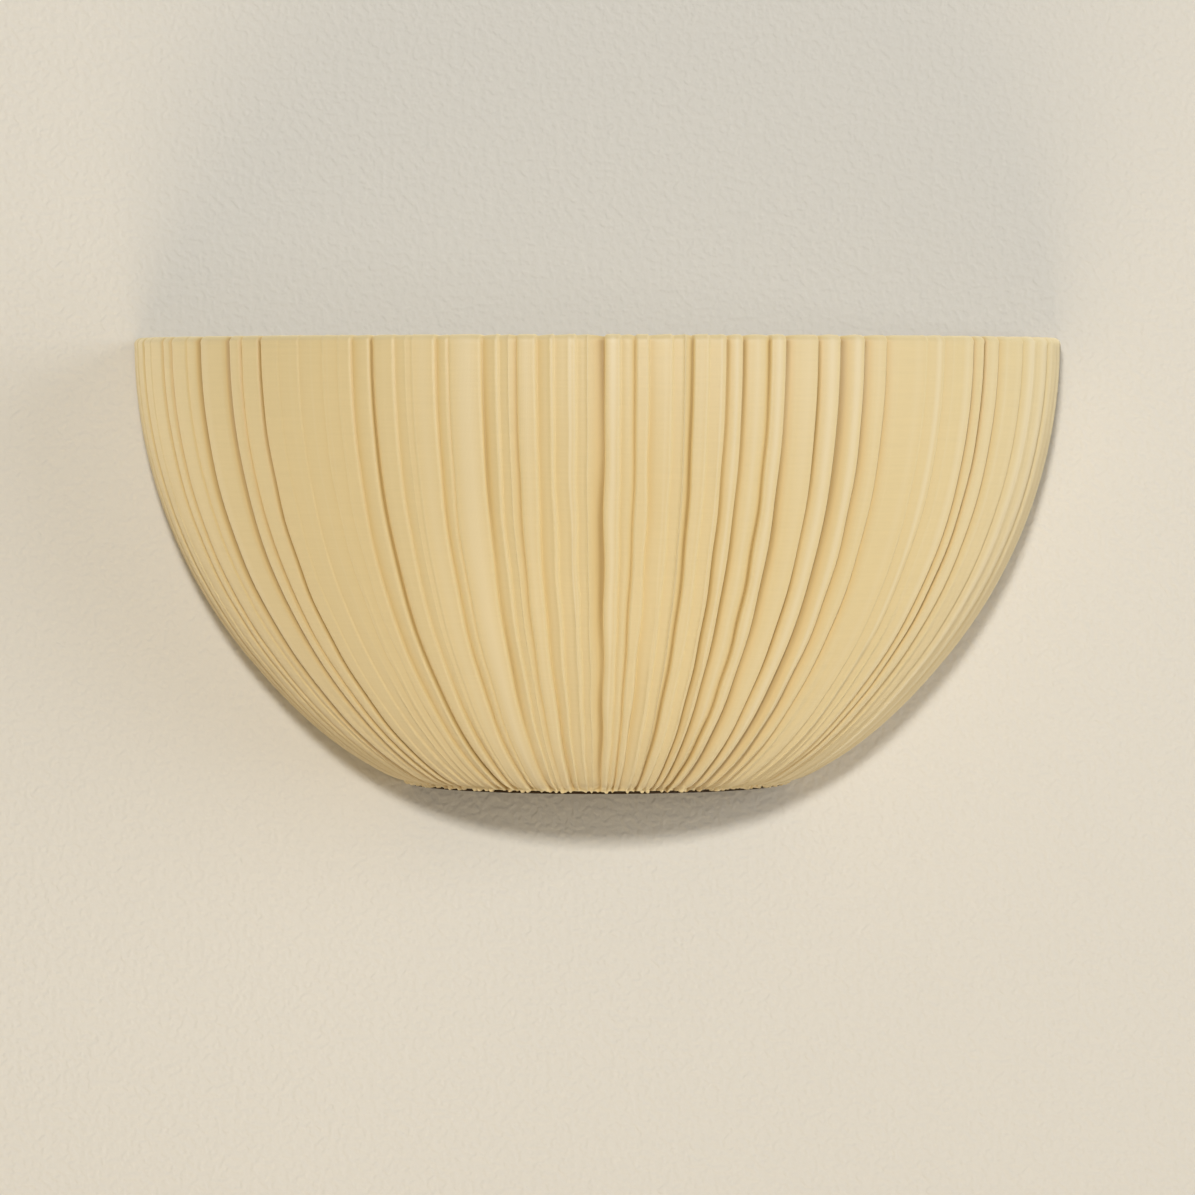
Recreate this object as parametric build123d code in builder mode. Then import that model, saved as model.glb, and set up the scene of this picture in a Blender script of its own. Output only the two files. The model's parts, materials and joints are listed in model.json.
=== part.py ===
"""Half-dome wall light: a pleated fabric shade that hangs on two hooks of a wall plate.

X runs along the wall, Y into the wall and Z up. The origin is the middle of the wall plate's back
face, on the wall, and the shade stands out towards -Y. All sizes are in millimetres.
"""

import os
from math import asin, cos, degrees, radians, sin, sqrt

from build123d import *

# ---- Driving dimensions ------------------------------------------------------------------------
SHADE_WIDTH = 340.0  # along the wall, over the crowns of the pleats
SHADE_DEPTH_RADIUS = 177.0  # how far below the rim the shade's curve would close
RIM_Z = 75.2  # the middle of the curve of the shade's side
RIM_WIRE_DROP = 1.7  # of the rim wire's middle below RIM_Z
ROLL_RADIUS = 2.8  # of the cover where it turns over the rim wire
LOWER_DROP = 161.3  # from RIM_Z down to the seat of the lower ring
WALL_GAP = 1.0  # between the shade's back edges and the wall

COVER_THICKNESS = 2.4  # over the crowns of the pleats
LINER_THICKNESS = 1.2
LINER_TOP_DROP = 0.7
STRIP_THICKNESS = 1.5
STRIP_DEPTH = 10.0  # of the frame's side strips, out from the wall
TAPE_THICKNESS = 0.6
RIM_WIRE_RADIUS = 2.0
RIM_WIRE_EASE = 0.1  # between the wire and the liner
RING_THICKNESS = 1.2
RING_OUTER_RADIUS = 68.3
RING_INNER_RADIUS = 55.0
RING_SCREW_RADIUS = 58.2
RING_SCREW_HEAD = 2.6
RIVET_HEAD_RADIUS = 2.7
RIVET_HEAD_HEIGHT = 1.2
RIVET_SUNK = 0.3  # how far its far end stays below the liner's outside

# Insets of the shade's layers from the crowns of the pleats
INSET_COVER = 0.0
INSET_LINER = COVER_THICKNESS
INSET_STRIP = INSET_LINER + LINER_THICKNESS
INSET_FRAME_INSIDE = INSET_STRIP + STRIP_THICKNESS

# Main pleats: where their creases leave the rim, in degrees round the shade from its front.
# They are gathered by hand, so their spacing is uneven.
CREASES_LEFT = [74.3, 66.3, 62.8, 55.7, 49.6, 44, 36.0, 27.2, 19.2, 13.5, 10.6, 7, 2.7]
CREASES_RIGHT = [0.5, 4.3, 8.4, 10.8, 15, 17.3, 20.4, 22.6, 26.8, 29.9, 33.1, 36.2]
CREASES_RIGHT_END = [43.5, 50.9, 53.7, 57.1, 62.7, 71.5]
CREASES = [-angle for angle in CREASES_LEFT] + CREASES_RIGHT + CREASES_RIGHT_END
CREASE_DEPTH_TOP = 1.0
CREASE_DEPTH_BOTTOM = 2.6
COVER_SECTIONS = [RIM_WIRE_DROP, 55.0, 100.0, 135.0, 152.0, LOWER_DROP]

# Wall plate, with two hooks pressed out of it
PLATE_WIDTH = 124.0
PLATE_HEIGHT = 108.0
PLATE_CORNER = 8.0
PLATE_THICKNESS = 2.0
FIXING_X = 51.0
FIXING_SLOT_LENGTH = 12.0
FIXING_SLOT_WIDTH = 5.0
CABLE_Z = 15.0
CABLE_HOLE_RADIUS = 7.0
HOOK_X = 44.0
HOOK_WIDTH = 14.0
HOOK_FLOOR_Z = 34.5
HOOK_TOP_Z = 43.0
HOOK_WINDOW_TOP_Z = 48.0
HOOK_GAP = 2.6

# Crossbar of the shade's frame, which drops into the hooks
CROSSBAR_THICKNESS = 2.0
CROSSBAR_BOTTOM_Z = 31.5
CROSSBAR_TOP_Z = 49.0
CROSSBAR_BACK = 2.3
CROSSBAR_TAB = 8.0

# Wiring cover and what is under it
COVER_BOX_WIDTH = 84.0
COVER_BOX_HEIGHT = 58.0
COVER_BOX_DEPTH = 26.0
COVER_BOX_WALL = 1.2
COVER_BOX_Z = -3.0
PILLAR_X = 32.0
PILLAR_FLATS = 5.5
BUSH_DISTANCE = 12.0  # of the lamp leads' bush from the wall

BLOCK_Z = -6.0
BLOCK_WIDTH = 32.0
BLOCK_LENGTH = 17.0
BLOCK_BASE = 5.0
POLE_PITCH = 11.0
POLE_WIDTH = 6.8
BLOCK_TOP = 14.0
POLE_SHOULDER = 10.0
BLOCK_SCREW_RADIUS = 1.0
INSERT_SIDE = 4.6
INSERT_DISTANCE = 8.5
INSERT_LENGTH = 15.0
WIRE_BORE_RADIUS = 1.5
TERMINAL_SCREW_RADIUS = 1.3
TERMINAL_SCREW_LENGTH = 4.6
TUNNEL_RADIUS = 1.7

EARTH_X = 29.0
EARTH_Z = -24.2
BARREL_DISTANCE = 3.7  # of the earth eyelet's barrel from the wall
BARREL_START_X = 19.0
BARREL_END_X = 24.0

# Lamp arm and lampholder
ARM_WIDTH = 18.0
ARM_THICKNESS = 2.0
ARM_TOP_Z = -50.0
ARM_REACH = 98.0
ARM_FOOT_TOP_Z = -35.0
ARM_SCREW_X = 5.0
ARM_SCREW_Z = -41.0
HOLDER_DISTANCE = 78.0
HOLDER_LENGTH = 24.0
HOLDER_WIDTH = 15.0
HOLDER_TOP_Z = -28.0
FLANGE_LENGTH = 38.0
FLANGE_THICKNESS = 3.0
FLANGE_SCREW = 15.2
SCREW_RADIUS = 1.5  # of the clearance of every M3 screw
NUT_FLATS = 5.5
NUT_HEIGHT = 2.4
RECESS_LENGTH = 15.2
RECESS_WIDTH = 6.4
RECESS_DEPTH = 7.0
PIN_SPACING = 9.0
WELL_LENGTH = 3.6
WELL_WIDTH = 4.6
WELL_BOTTOM_Z = -45.5

LEAD_RADIUS = 1.3
LEAD_CONDUCTOR_RADIUS = 0.7
LEAD_SPACING = 1.6
LEAD_ENTRY_X = 4.6
LEAD_ENTRY_Z = -43.5
LEAD_BORE_RADIUS = 1.4

# Lamp
LAMP_RADIUS = 8.0
LAMP_COLLAR_TOP_Z = -20.0
LAMP_TOP_Z = 15.0
LAMP_WALL = 0.9
PIN_WIRE_RADIUS = 0.45
PIN_LOOP_WIDTH = 2.2
PIN_LENGTH = 9.0

SHADE_AXIS = Axis((0, 0, 0), (0, 0, -1))  # turning about it goes from the right round the front
os.makedirs("parts", exist_ok=True)


def save(piece, name):
    """Name a finished piece and write it."""
    piece.part.label = name
    export_step(piece.part, f"parts/{name}.step")


def facing_room(x, z, distance):
    """A plane parallel to the wall whose own origin is at one place on it."""
    return Plane(origin=(x, -distance, z), x_dir=(1, 0, 0), z_dir=(0, -1, 0))


def off_wall(distance):
    """A plane parallel to the wall, facing the room: its x is X and its y is Z."""
    return Plane.XZ.offset(distance)


def curve_radius(inset, drop):
    """The shade's radius at one drop below the rim, for a layer inset from the pleats' crowns."""
    across = SHADE_WIDTH / 2 - inset
    down = SHADE_DEPTH_RADIUS - inset
    return across * sqrt(1 - (drop / down) ** 2)


def curve_angle(inset, drop):
    """The ellipse's own angle, in degrees, at one drop below the rim."""
    return -degrees(asin(drop / (SHADE_DEPTH_RADIUS - inset)))


def shade_curve(inset, top_drop, bottom_drop):
    """The shade's side curve for one layer, from the top down, in the plane of the wall."""
    start = curve_angle(inset, top_drop)
    finish = curve_angle(inset, bottom_drop)
    return EllipticalCenterArc(
        (0, RIM_Z),
        SHADE_WIDTH / 2 - inset,
        SHADE_DEPTH_RADIUS - inset,
        start_angle=start,
        arc_size=finish - start,
    )


def layer(outer_inset, inner_inset, top_drop, bottom_drop):
    """A half-round shell between two of the shade's layers."""
    with BuildPart() as shell:
        with BuildSketch(Plane.XZ):
            with BuildLine():
                outer = shade_curve(outer_inset, top_drop, bottom_drop)
                inner = shade_curve(inner_inset, top_drop, bottom_drop)
                Line(outer @ 0, inner @ 0)
                Line(outer @ 1, inner @ 1)
            make_face()
        revolve(axis=SHADE_AXIS, revolution_arc=180)
    return shell.part


def inside_of(inset, top_drop, bottom_drop):
    """The whole half-dome inside one of the shade's layers, to trim pieces by."""
    with BuildPart() as dome:
        with BuildSketch(Plane.XZ):
            with BuildLine():
                side = shade_curve(inset, top_drop, bottom_drop)
                Polyline(side @ 0, (0, RIM_Z - top_drop), (0, RIM_Z - bottom_drop), side @ 1)
            make_face()
        revolve(axis=SHADE_AXIS, revolution_arc=180)
    return dome.part


def slotted_screw(plane, head_radius, head_height, shank_radius, shank_length):
    """A screw whose head stands on the plane and whose shank goes down from it."""
    with BuildPart() as screw:
        with BuildSketch(plane):
            Circle(head_radius)
        extrude(amount=head_height)
        chamfer(screw.faces().sort_by(Axis(plane.origin, plane.z_dir))[-1].edges(), head_height * 0.3)
        with BuildSketch(plane.offset(head_height)):
            Rectangle(head_radius * 2, head_radius * 0.3)
        extrude(amount=-head_height * 0.4, mode=Mode.SUBTRACT)
        with BuildSketch(plane):
            Circle(shank_radius)
        extrude(amount=-shank_length)
    return screw.part


def round_front(angle, radius):
    """A point at an angle from the front of the shade, in a level plane."""
    return (radius * sin(radians(angle)), -radius * cos(radians(angle)))


DOME_IN_LINER = inside_of(INSET_LINER, -0.5, LOWER_DROP)
DOME_IN_STRIP = inside_of(INSET_STRIP, -0.5, LOWER_DROP)
DOME_IN_FRAME = inside_of(INSET_FRAME_INSIDE, -0.5, LOWER_DROP)
ring_z = RIM_Z - LOWER_DROP

# ---- Wall bracket ------------------------------------------------------------------------------
hook_lip_back = PLATE_THICKNESS + HOOK_GAP
hook_lip_front = hook_lip_back + PLATE_THICKNESS
bush_wall_z = COVER_BOX_Z - COVER_BOX_HEIGHT / 2

with BuildPart() as wall_plate:
    with BuildSketch(off_wall(0)):
        RectangleRounded(PLATE_WIDTH, PLATE_HEIGHT, PLATE_CORNER)
        with Locations((0, CABLE_Z)):
            Circle(CABLE_HOLE_RADIUS, mode=Mode.SUBTRACT)
        with Locations((-FIXING_X, 0), (FIXING_X, 0)):
            SlotOverall(FIXING_SLOT_LENGTH, FIXING_SLOT_WIDTH, mode=Mode.SUBTRACT)
        window_height = HOOK_WINDOW_TOP_Z - HOOK_FLOOR_Z
        window_z = HOOK_FLOOR_Z + window_height / 2
        with Locations((-HOOK_X, window_z), (HOOK_X, window_z)):
            Rectangle(HOOK_WIDTH + 1, window_height, mode=Mode.SUBTRACT)
        with Locations((-ARM_SCREW_X, ARM_SCREW_Z), (ARM_SCREW_X, ARM_SCREW_Z)):
            Circle(SCREW_RADIUS, mode=Mode.SUBTRACT)
        with Locations((-PILLAR_X, COVER_BOX_Z), (PILLAR_X, COVER_BOX_Z)):
            Circle(SCREW_RADIUS, mode=Mode.SUBTRACT)
        with Locations((-POLE_PITCH / 2, BLOCK_Z), (POLE_PITCH / 2, BLOCK_Z)):
            Circle(BLOCK_SCREW_RADIUS, mode=Mode.SUBTRACT)
        with Locations((EARTH_X, EARTH_Z)):
            Circle(SCREW_RADIUS, mode=Mode.SUBTRACT)
    extrude(amount=PLATE_THICKNESS)
    chamfer(wall_plate.faces().sort_by(Axis.Y)[0].outer_wire().edges(), 0.5)
    for side in (-1, 1):
        with BuildSketch(Plane.YZ.offset(side * HOOK_X)):
            with BuildLine():
                Polyline(
                    (0, HOOK_FLOOR_Z),
                    (-hook_lip_back, HOOK_FLOOR_Z),
                    (-hook_lip_back, HOOK_TOP_Z),
                    (-hook_lip_front, HOOK_TOP_Z),
                    (-hook_lip_front, HOOK_FLOOR_Z - PLATE_THICKNESS),
                    (0, HOOK_FLOOR_Z - PLATE_THICKNESS),
                    close=True,
                )
            make_face()
        extrude(amount=HOOK_WIDTH / 2, both=True)
    bends = wall_plate.edges().filter_by(Axis.X).group_by(Axis.Y)[0]
    fillet(bends.group_by(Axis.Z)[0], 1.8)
    lip_corners = wall_plate.edges().filter_by(Axis.Y)
    fillet(lip_corners.filter_by_position(Axis.Z, HOOK_TOP_Z - 0.1, HOOK_TOP_Z + 0.1), 3.0)
save(wall_plate, "wall_plate")

with BuildPart() as cable_grommet:
    with BuildSketch(off_wall(0)):
        with Locations((0, CABLE_Z)):
            Circle(CABLE_HOLE_RADIUS)
    extrude(amount=PLATE_THICKNESS)
    with BuildSketch(off_wall(PLATE_THICKNESS)):
        with Locations((0, CABLE_Z)):
            Circle(CABLE_HOLE_RADIUS + 2)
    extrude(amount=1.6)
    lip = cable_grommet.faces().sort_by(Axis.Y)[0].edges()
    fillet(lip, 0.7)
    with BuildSketch(off_wall(0)):
        with Locations((0, CABLE_Z)):
            Circle(CABLE_HOLE_RADIUS - 2)
    extrude(amount=PLATE_THICKNESS + 1.6, mode=Mode.SUBTRACT)
save(cable_grommet, "cable_grommet")

# Terminal block: three poles side by side, with their wires running up and down
pole_places = [-POLE_PITCH, 0, POLE_PITCH]
screw_rows = [BLOCK_Z - BLOCK_LENGTH / 4, BLOCK_Z + BLOCK_LENGTH / 4]
tunnel_places = [(x, z) for x in pole_places for z in screw_rows]
block_fixings = [(-POLE_PITCH / 2, BLOCK_Z), (POLE_PITCH / 2, BLOCK_Z)]

with BuildPart() as terminal_block:
    with BuildSketch(off_wall(PLATE_THICKNESS)):
        with Locations((0, BLOCK_Z)):
            Rectangle(BLOCK_WIDTH, BLOCK_LENGTH)
    extrude(amount=BLOCK_BASE)
    with BuildSketch(off_wall(PLATE_THICKNESS + BLOCK_BASE)):
        with Locations([(x, BLOCK_Z) for x in pole_places]):
            Rectangle(POLE_WIDTH, BLOCK_LENGTH)
    extrude(amount=POLE_SHOULDER - BLOCK_BASE)
    with BuildSketch(off_wall(PLATE_THICKNESS + POLE_SHOULDER)):
        with Locations(tunnel_places):
            Rectangle(POLE_WIDTH - 0.8, POLE_WIDTH - 0.8)
    extrude(amount=BLOCK_TOP - POLE_SHOULDER, taper=4)
    with BuildSketch(off_wall(PLATE_THICKNESS + BLOCK_TOP)):
        with Locations(tunnel_places):
            Circle(TUNNEL_RADIUS)
    extrude(amount=-(PLATE_THICKNESS + BLOCK_TOP - INSERT_DISTANCE), mode=Mode.SUBTRACT)
    with BuildSketch(Plane.XY.offset(BLOCK_Z - BLOCK_LENGTH / 2)):
        with Locations([(x, -INSERT_DISTANCE) for x in pole_places]):
            Rectangle(INSERT_SIDE, INSERT_SIDE)
    extrude(amount=BLOCK_LENGTH, mode=Mode.SUBTRACT)
    with BuildSketch(off_wall(PLATE_THICKNESS)):
        with Locations(block_fixings):
            Circle(BLOCK_SCREW_RADIUS)
    extrude(amount=BLOCK_BASE, mode=Mode.SUBTRACT)
save(terminal_block, "terminal_block")

with BuildPart() as terminal_inserts:
    with BuildSketch(Plane.XY.offset(BLOCK_Z - INSERT_LENGTH / 2)):
        with Locations([(x, -INSERT_DISTANCE) for x in pole_places]):
            Rectangle(INSERT_SIDE, INSERT_SIDE)
            Circle(WIRE_BORE_RADIUS, mode=Mode.SUBTRACT)
    extrude(amount=INSERT_LENGTH)
    with BuildSketch(off_wall(INSERT_DISTANCE)):
        with Locations(tunnel_places):
            Circle(TERMINAL_SCREW_RADIUS)
    extrude(amount=INSERT_SIDE / 2, mode=Mode.SUBTRACT)
save(terminal_inserts, "terminal_inserts")

with BuildPart() as terminal_screws:
    with BuildSketch(off_wall(INSERT_DISTANCE + LEAD_CONDUCTOR_RADIUS)):
        with Locations(tunnel_places):
            Circle(TERMINAL_SCREW_RADIUS)
    extrude(amount=TERMINAL_SCREW_LENGTH)
    with BuildSketch(off_wall(INSERT_DISTANCE + LEAD_CONDUCTOR_RADIUS + TERMINAL_SCREW_LENGTH)):
        with Locations(tunnel_places):
            Rectangle(TERMINAL_SCREW_RADIUS * 2, 0.6)
    extrude(amount=-0.8, mode=Mode.SUBTRACT)
save(terminal_screws, "terminal_screws")

block_top = PLATE_THICKNESS + BLOCK_BASE
block_screw_parts = [
    slotted_screw(facing_room(x, z, block_top), 2.0, 1.5, BLOCK_SCREW_RADIUS, block_top)
    for x, z in block_fixings
]
with BuildPart() as block_screws:
    add(block_screw_parts)
save(block_screws, "block_screws")

# Wiring cover on its two pillars
with BuildPart() as wiring_cover:
    with BuildSketch(off_wall(PLATE_THICKNESS)):
        with Locations((0, COVER_BOX_Z)):
            RectangleRounded(COVER_BOX_WIDTH, COVER_BOX_HEIGHT, 8)
    extrude(amount=COVER_BOX_DEPTH)
    front = wiring_cover.faces().sort_by(Axis.Y)[0]
    fillet(front.edges(), 3)
    back = wiring_cover.faces().sort_by(Axis.Y)[-1]
    offset(amount=-COVER_BOX_WALL, openings=back)
    with BuildSketch(off_wall(PLATE_THICKNESS + COVER_BOX_DEPTH)):
        with Locations((-PILLAR_X, COVER_BOX_Z), (PILLAR_X, COVER_BOX_Z)):
            Circle(SCREW_RADIUS)
    extrude(amount=-COVER_BOX_WALL, mode=Mode.SUBTRACT)
    with BuildSketch(Plane.XY.offset(bush_wall_z)):
        with Locations((0, -BUSH_DISTANCE)):
            Circle(4.5)
    extrude(amount=COVER_BOX_WALL, mode=Mode.SUBTRACT)
save(wiring_cover, "wiring_cover")

pillar_length = COVER_BOX_DEPTH - COVER_BOX_WALL
with BuildPart() as cover_pillars:
    with BuildSketch(off_wall(PLATE_THICKNESS)):
        with Locations((-PILLAR_X, COVER_BOX_Z), (PILLAR_X, COVER_BOX_Z)):
            RegularPolygon(PILLAR_FLATS / 2, 6, major_radius=False)
    extrude(amount=pillar_length)
    with BuildSketch(off_wall(PLATE_THICKNESS + pillar_length)):
        with Locations((-PILLAR_X, COVER_BOX_Z), (PILLAR_X, COVER_BOX_Z)):
            Circle(SCREW_RADIUS)
    extrude(amount=-8, mode=Mode.SUBTRACT)
    with BuildSketch(off_wall(0)):
        with Locations((-PILLAR_X, COVER_BOX_Z), (PILLAR_X, COVER_BOX_Z)):
            Circle(SCREW_RADIUS)
    extrude(amount=PLATE_THICKNESS)
save(cover_pillars, "cover_pillars")

cover_front = PLATE_THICKNESS + COVER_BOX_DEPTH
cover_screw_parts = [
    slotted_screw(facing_room(x, COVER_BOX_Z, cover_front), 2.9, 2.0, 1.5, 7) for x in (-PILLAR_X, PILLAR_X)
]
with BuildPart() as cover_screws:
    add(cover_screw_parts)
save(cover_screws, "cover_screws")

with BuildPart() as lead_bush:
    with BuildSketch(Plane.XY.offset(bush_wall_z)):
        with Locations((0, -BUSH_DISTANCE)):
            Circle(6)
    extrude(amount=-1.4)
    fillet(lead_bush.faces().sort_by(Axis.Z)[0].edges(), 0.6)
    with BuildSketch(Plane.XY.offset(bush_wall_z)):
        with Locations((0, -BUSH_DISTANCE)):
            Circle(4.5)
    extrude(amount=COVER_BOX_WALL + 1.2)
    with BuildSketch(Plane.XY.offset(bush_wall_z - 1.4)):
        with Locations((0, -BUSH_DISTANCE)):
            SlotOverall(2 * (LEAD_SPACING + LEAD_RADIUS + 0.2), 2 * (LEAD_RADIUS + 0.2))
    extrude(amount=COVER_BOX_WALL + 2.6, mode=Mode.SUBTRACT)
save(lead_bush, "lead_bush")

# Earth eyelet: a ring on the plate with a tongue that carries the crimped barrel
with BuildPart() as earth_eyelet:
    with BuildSketch(off_wall(PLATE_THICKNESS)):
        with Locations((EARTH_X, EARTH_Z)):
            Circle(3.4)
        with Locations(((EARTH_X + BARREL_START_X) / 2, EARTH_Z)):
            Rectangle(EARTH_X - BARREL_START_X, 2.4)
        with Locations((EARTH_X, EARTH_Z)):
            Circle(SCREW_RADIUS, mode=Mode.SUBTRACT)
    extrude(amount=0.6)
    with BuildSketch(Plane.YZ.offset(BARREL_START_X)):
        with Locations((-BARREL_DISTANCE, EARTH_Z)):
            Circle(1.7)
    extrude(amount=BARREL_END_X - BARREL_START_X)
    with BuildSketch(Plane.YZ.offset(BARREL_START_X)):
        with Locations((-BARREL_DISTANCE, EARTH_Z)):
            Circle(LEAD_RADIUS)
    extrude(amount=4, mode=Mode.SUBTRACT)
save(earth_eyelet, "earth_eyelet")

earth_screw_part = slotted_screw(
    facing_room(EARTH_X, EARTH_Z, PLATE_THICKNESS + 0.6), 2.8, 1.9, 1.5, PLATE_THICKNESS + 0.6
)
with BuildPart() as earth_screw:
    add(earth_screw_part)
save(earth_screw, "earth_screw")

# ---- Leads -------------------------------------------------------------------------------------
block_bottom = BLOCK_Z - BLOCK_LENGTH / 2
lead_run_z = ARM_TOP_Z + LEAD_RADIUS + 0.2
holder_back = HOLDER_DISTANCE - HOLDER_LENGTH / 2


def lamp_lead(pole_x, side):
    """The route of one lamp lead: out of the block, through the bush and along the arm."""
    return [
        (pole_x, -INSERT_DISTANCE, block_bottom),
        (pole_x, -INSERT_DISTANCE, block_bottom - 5),
        (side * LEAD_SPACING, -BUSH_DISTANCE, block_bottom - 12),
        (side * LEAD_SPACING, -BUSH_DISTANCE, lead_run_z),
        (side * LEAD_SPACING, -(holder_back - 22), lead_run_z),
        (side * LEAD_ENTRY_X, -(holder_back - 10), LEAD_ENTRY_Z),
        (side * LEAD_ENTRY_X, -(holder_back + 4), LEAD_ENTRY_Z),
    ]


def lead(route, radii):
    """An insulated lead along a route, with its bared end in the terminal block."""
    with BuildPart() as wire:
        with BuildLine():
            path = FilletPolyline(*route, radius=radii)
        with BuildSketch(Plane(origin=path @ 0, z_dir=path % 0)):
            Circle(LEAD_RADIUS)
        sweep(path=path)
        with BuildSketch(Plane(origin=route[0], z_dir=(0, 0, 1))):
            Circle(LEAD_CONDUCTOR_RADIUS)
        extrude(amount=7.5)
    print("lead", round(path.length, 1), "mm long, radii", radii)
    return wire.part


live_part = lead(lamp_lead(-POLE_PITCH, -1), [4, 6, 14, 20, 20])
with BuildPart() as live_lead:
    add(live_part)
save(live_lead, "live_lead")

neutral_part = lead(lamp_lead(0, 1), [8, 10, 14, 20, 20])
with BuildPart() as neutral_lead:
    add(neutral_part)
save(neutral_lead, "neutral_lead")

earth_route = [
    (POLE_PITCH, -INSERT_DISTANCE, block_bottom),
    (POLE_PITCH, -INSERT_DISTANCE + 0.2, block_bottom - 5),
    (13.0, -5.8, -23.3),
    (17.5, -BARREL_DISTANCE, EARTH_Z),
    (BARREL_START_X + 4, -BARREL_DISTANCE, EARTH_Z),
]
earth_part = lead(earth_route, [5, 5, 8])
with BuildPart() as earth_lead:
    add(earth_part)
save(earth_lead, "earth_lead")

# ---- Lamp arm and lampholder -------------------------------------------------------------------
arm_foot_front = PLATE_THICKNESS + ARM_THICKNESS
arm_bottom_z = ARM_TOP_Z - ARM_THICKNESS
arm_screw_places = [(-ARM_SCREW_X, ARM_SCREW_Z), (ARM_SCREW_X, ARM_SCREW_Z)]
flange_places = [(0, -HOLDER_DISTANCE + FLANGE_SCREW), (0, -HOLDER_DISTANCE - FLANGE_SCREW)]
well_places = [(0, -HOLDER_DISTANCE + PIN_SPACING / 2), (0, -HOLDER_DISTANCE - PIN_SPACING / 2)]

with BuildPart() as lamp_arm:
    with BuildSketch(Plane.YZ):
        with BuildLine():
            Polyline(
                (-PLATE_THICKNESS, ARM_FOOT_TOP_Z),
                (-PLATE_THICKNESS, arm_bottom_z),
                (-ARM_REACH, arm_bottom_z),
                (-ARM_REACH, ARM_TOP_Z),
                (-arm_foot_front, ARM_TOP_Z),
                (-arm_foot_front, ARM_FOOT_TOP_Z),
                close=True,
            )
        make_face()
    extrude(amount=ARM_WIDTH / 2, both=True)
    bend = lamp_arm.edges().filter_by(Axis.X)
    fillet(bend.filter_by_position(Axis.Y, -arm_foot_front - 0.1, -arm_foot_front + 0.1).group_by(Axis.Z)[0], 2)
    fillet(bend.filter_by_position(Axis.Z, arm_bottom_z - 0.1, arm_bottom_z + 0.1).group_by(Axis.Y)[-1], 3)
    fillet(lamp_arm.edges().filter_by(Axis.Z).group_by(Axis.Y)[0], ARM_WIDTH / 2 - 0.1)
    fillet(lamp_arm.edges().filter_by(Axis.Y).group_by(Axis.Z)[-1], 4)
    with BuildSketch(off_wall(PLATE_THICKNESS)):
        with Locations(arm_screw_places):
            Circle(SCREW_RADIUS)
    extrude(amount=ARM_THICKNESS, mode=Mode.SUBTRACT)
    with BuildSketch(Plane.XY.offset(ARM_TOP_Z)):
        with Locations(flange_places):
            Circle(SCREW_RADIUS)
    extrude(amount=-ARM_THICKNESS, mode=Mode.SUBTRACT)
save(lamp_arm, "lamp_arm")

arm_screw_parts = [
    slotted_screw(facing_room(x, z, arm_foot_front), 2.8, 2.0, 1.5, arm_foot_front)
    for x, z in arm_screw_places
]
with BuildPart() as arm_screws:
    add(arm_screw_parts)
save(arm_screws, "arm_screws")

# Saddle that holds both leads down on the arm
saddle_half = LEAD_SPACING + LEAD_RADIUS + 0.2
saddle_height = 2 * LEAD_RADIUS + 0.4
with BuildPart() as lead_clip:
    with BuildSketch(Plane.XZ.offset(32)):
        with Locations((0, ARM_TOP_Z + 0.4)):
            Rectangle(15, 0.8)
        with Locations((0, ARM_TOP_Z + (saddle_height + 0.8) / 2)):
            Rectangle(2 * saddle_half + 1.6, saddle_height + 0.8)
        with Locations((0, ARM_TOP_Z + saddle_height / 2)):
            Rectangle(2 * saddle_half, saddle_height, mode=Mode.SUBTRACT)
    extrude(amount=7)
    crown = lead_clip.edges().filter_by(Axis.Y).group_by(Axis.Z)[-1]
    fillet(crown, 0.9)
    fillet(lead_clip.edges().filter_by(Axis.Z).group_by(Axis.X)[0], 1.5)
    fillet(lead_clip.edges().filter_by(Axis.Z).group_by(Axis.X)[-1], 1.5)
save(lead_clip, "lead_clip")

with BuildPart() as lampholder:
    with BuildSketch(Plane.XY.offset(ARM_TOP_Z)):
        with Locations((0, -HOLDER_DISTANCE)):
            SlotOverall(FLANGE_LENGTH, HOLDER_WIDTH, rotation=90)
    extrude(amount=FLANGE_THICKNESS)
    with BuildSketch(Plane.XY.offset(ARM_TOP_Z + FLANGE_THICKNESS)):
        with Locations((0, -HOLDER_DISTANCE)):
            RectangleRounded(HOLDER_WIDTH, HOLDER_LENGTH, 3)
    extrude(amount=HOLDER_TOP_Z - ARM_TOP_Z - FLANGE_THICKNESS)
    fillet(lampholder.faces().sort_by(Axis.Z)[-1].edges(), 1.0)
    with BuildSketch(Plane.XY.offset(HOLDER_TOP_Z)):
        with Locations((0, -HOLDER_DISTANCE)):
            Rectangle(RECESS_WIDTH, RECESS_LENGTH)
    extrude(amount=-RECESS_DEPTH, mode=Mode.SUBTRACT)
    with BuildSketch(Plane.XY.offset(HOLDER_TOP_Z - RECESS_DEPTH)):
        with Locations(well_places):
            Rectangle(WELL_WIDTH, WELL_LENGTH)
    extrude(amount=WELL_BOTTOM_Z - HOLDER_TOP_Z + RECESS_DEPTH, mode=Mode.SUBTRACT)
    with BuildSketch(Plane.XY.offset(ARM_TOP_Z)):
        with Locations(flange_places):
            Circle(SCREW_RADIUS)
    extrude(amount=FLANGE_THICKNESS, mode=Mode.SUBTRACT)
    with BuildSketch(off_wall(holder_back)):
        with Locations((-LEAD_ENTRY_X, LEAD_ENTRY_Z), (LEAD_ENTRY_X, LEAD_ENTRY_Z)):
            Circle(LEAD_BORE_RADIUS)
    extrude(amount=5, mode=Mode.SUBTRACT)
save(lampholder, "lampholder")

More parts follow.
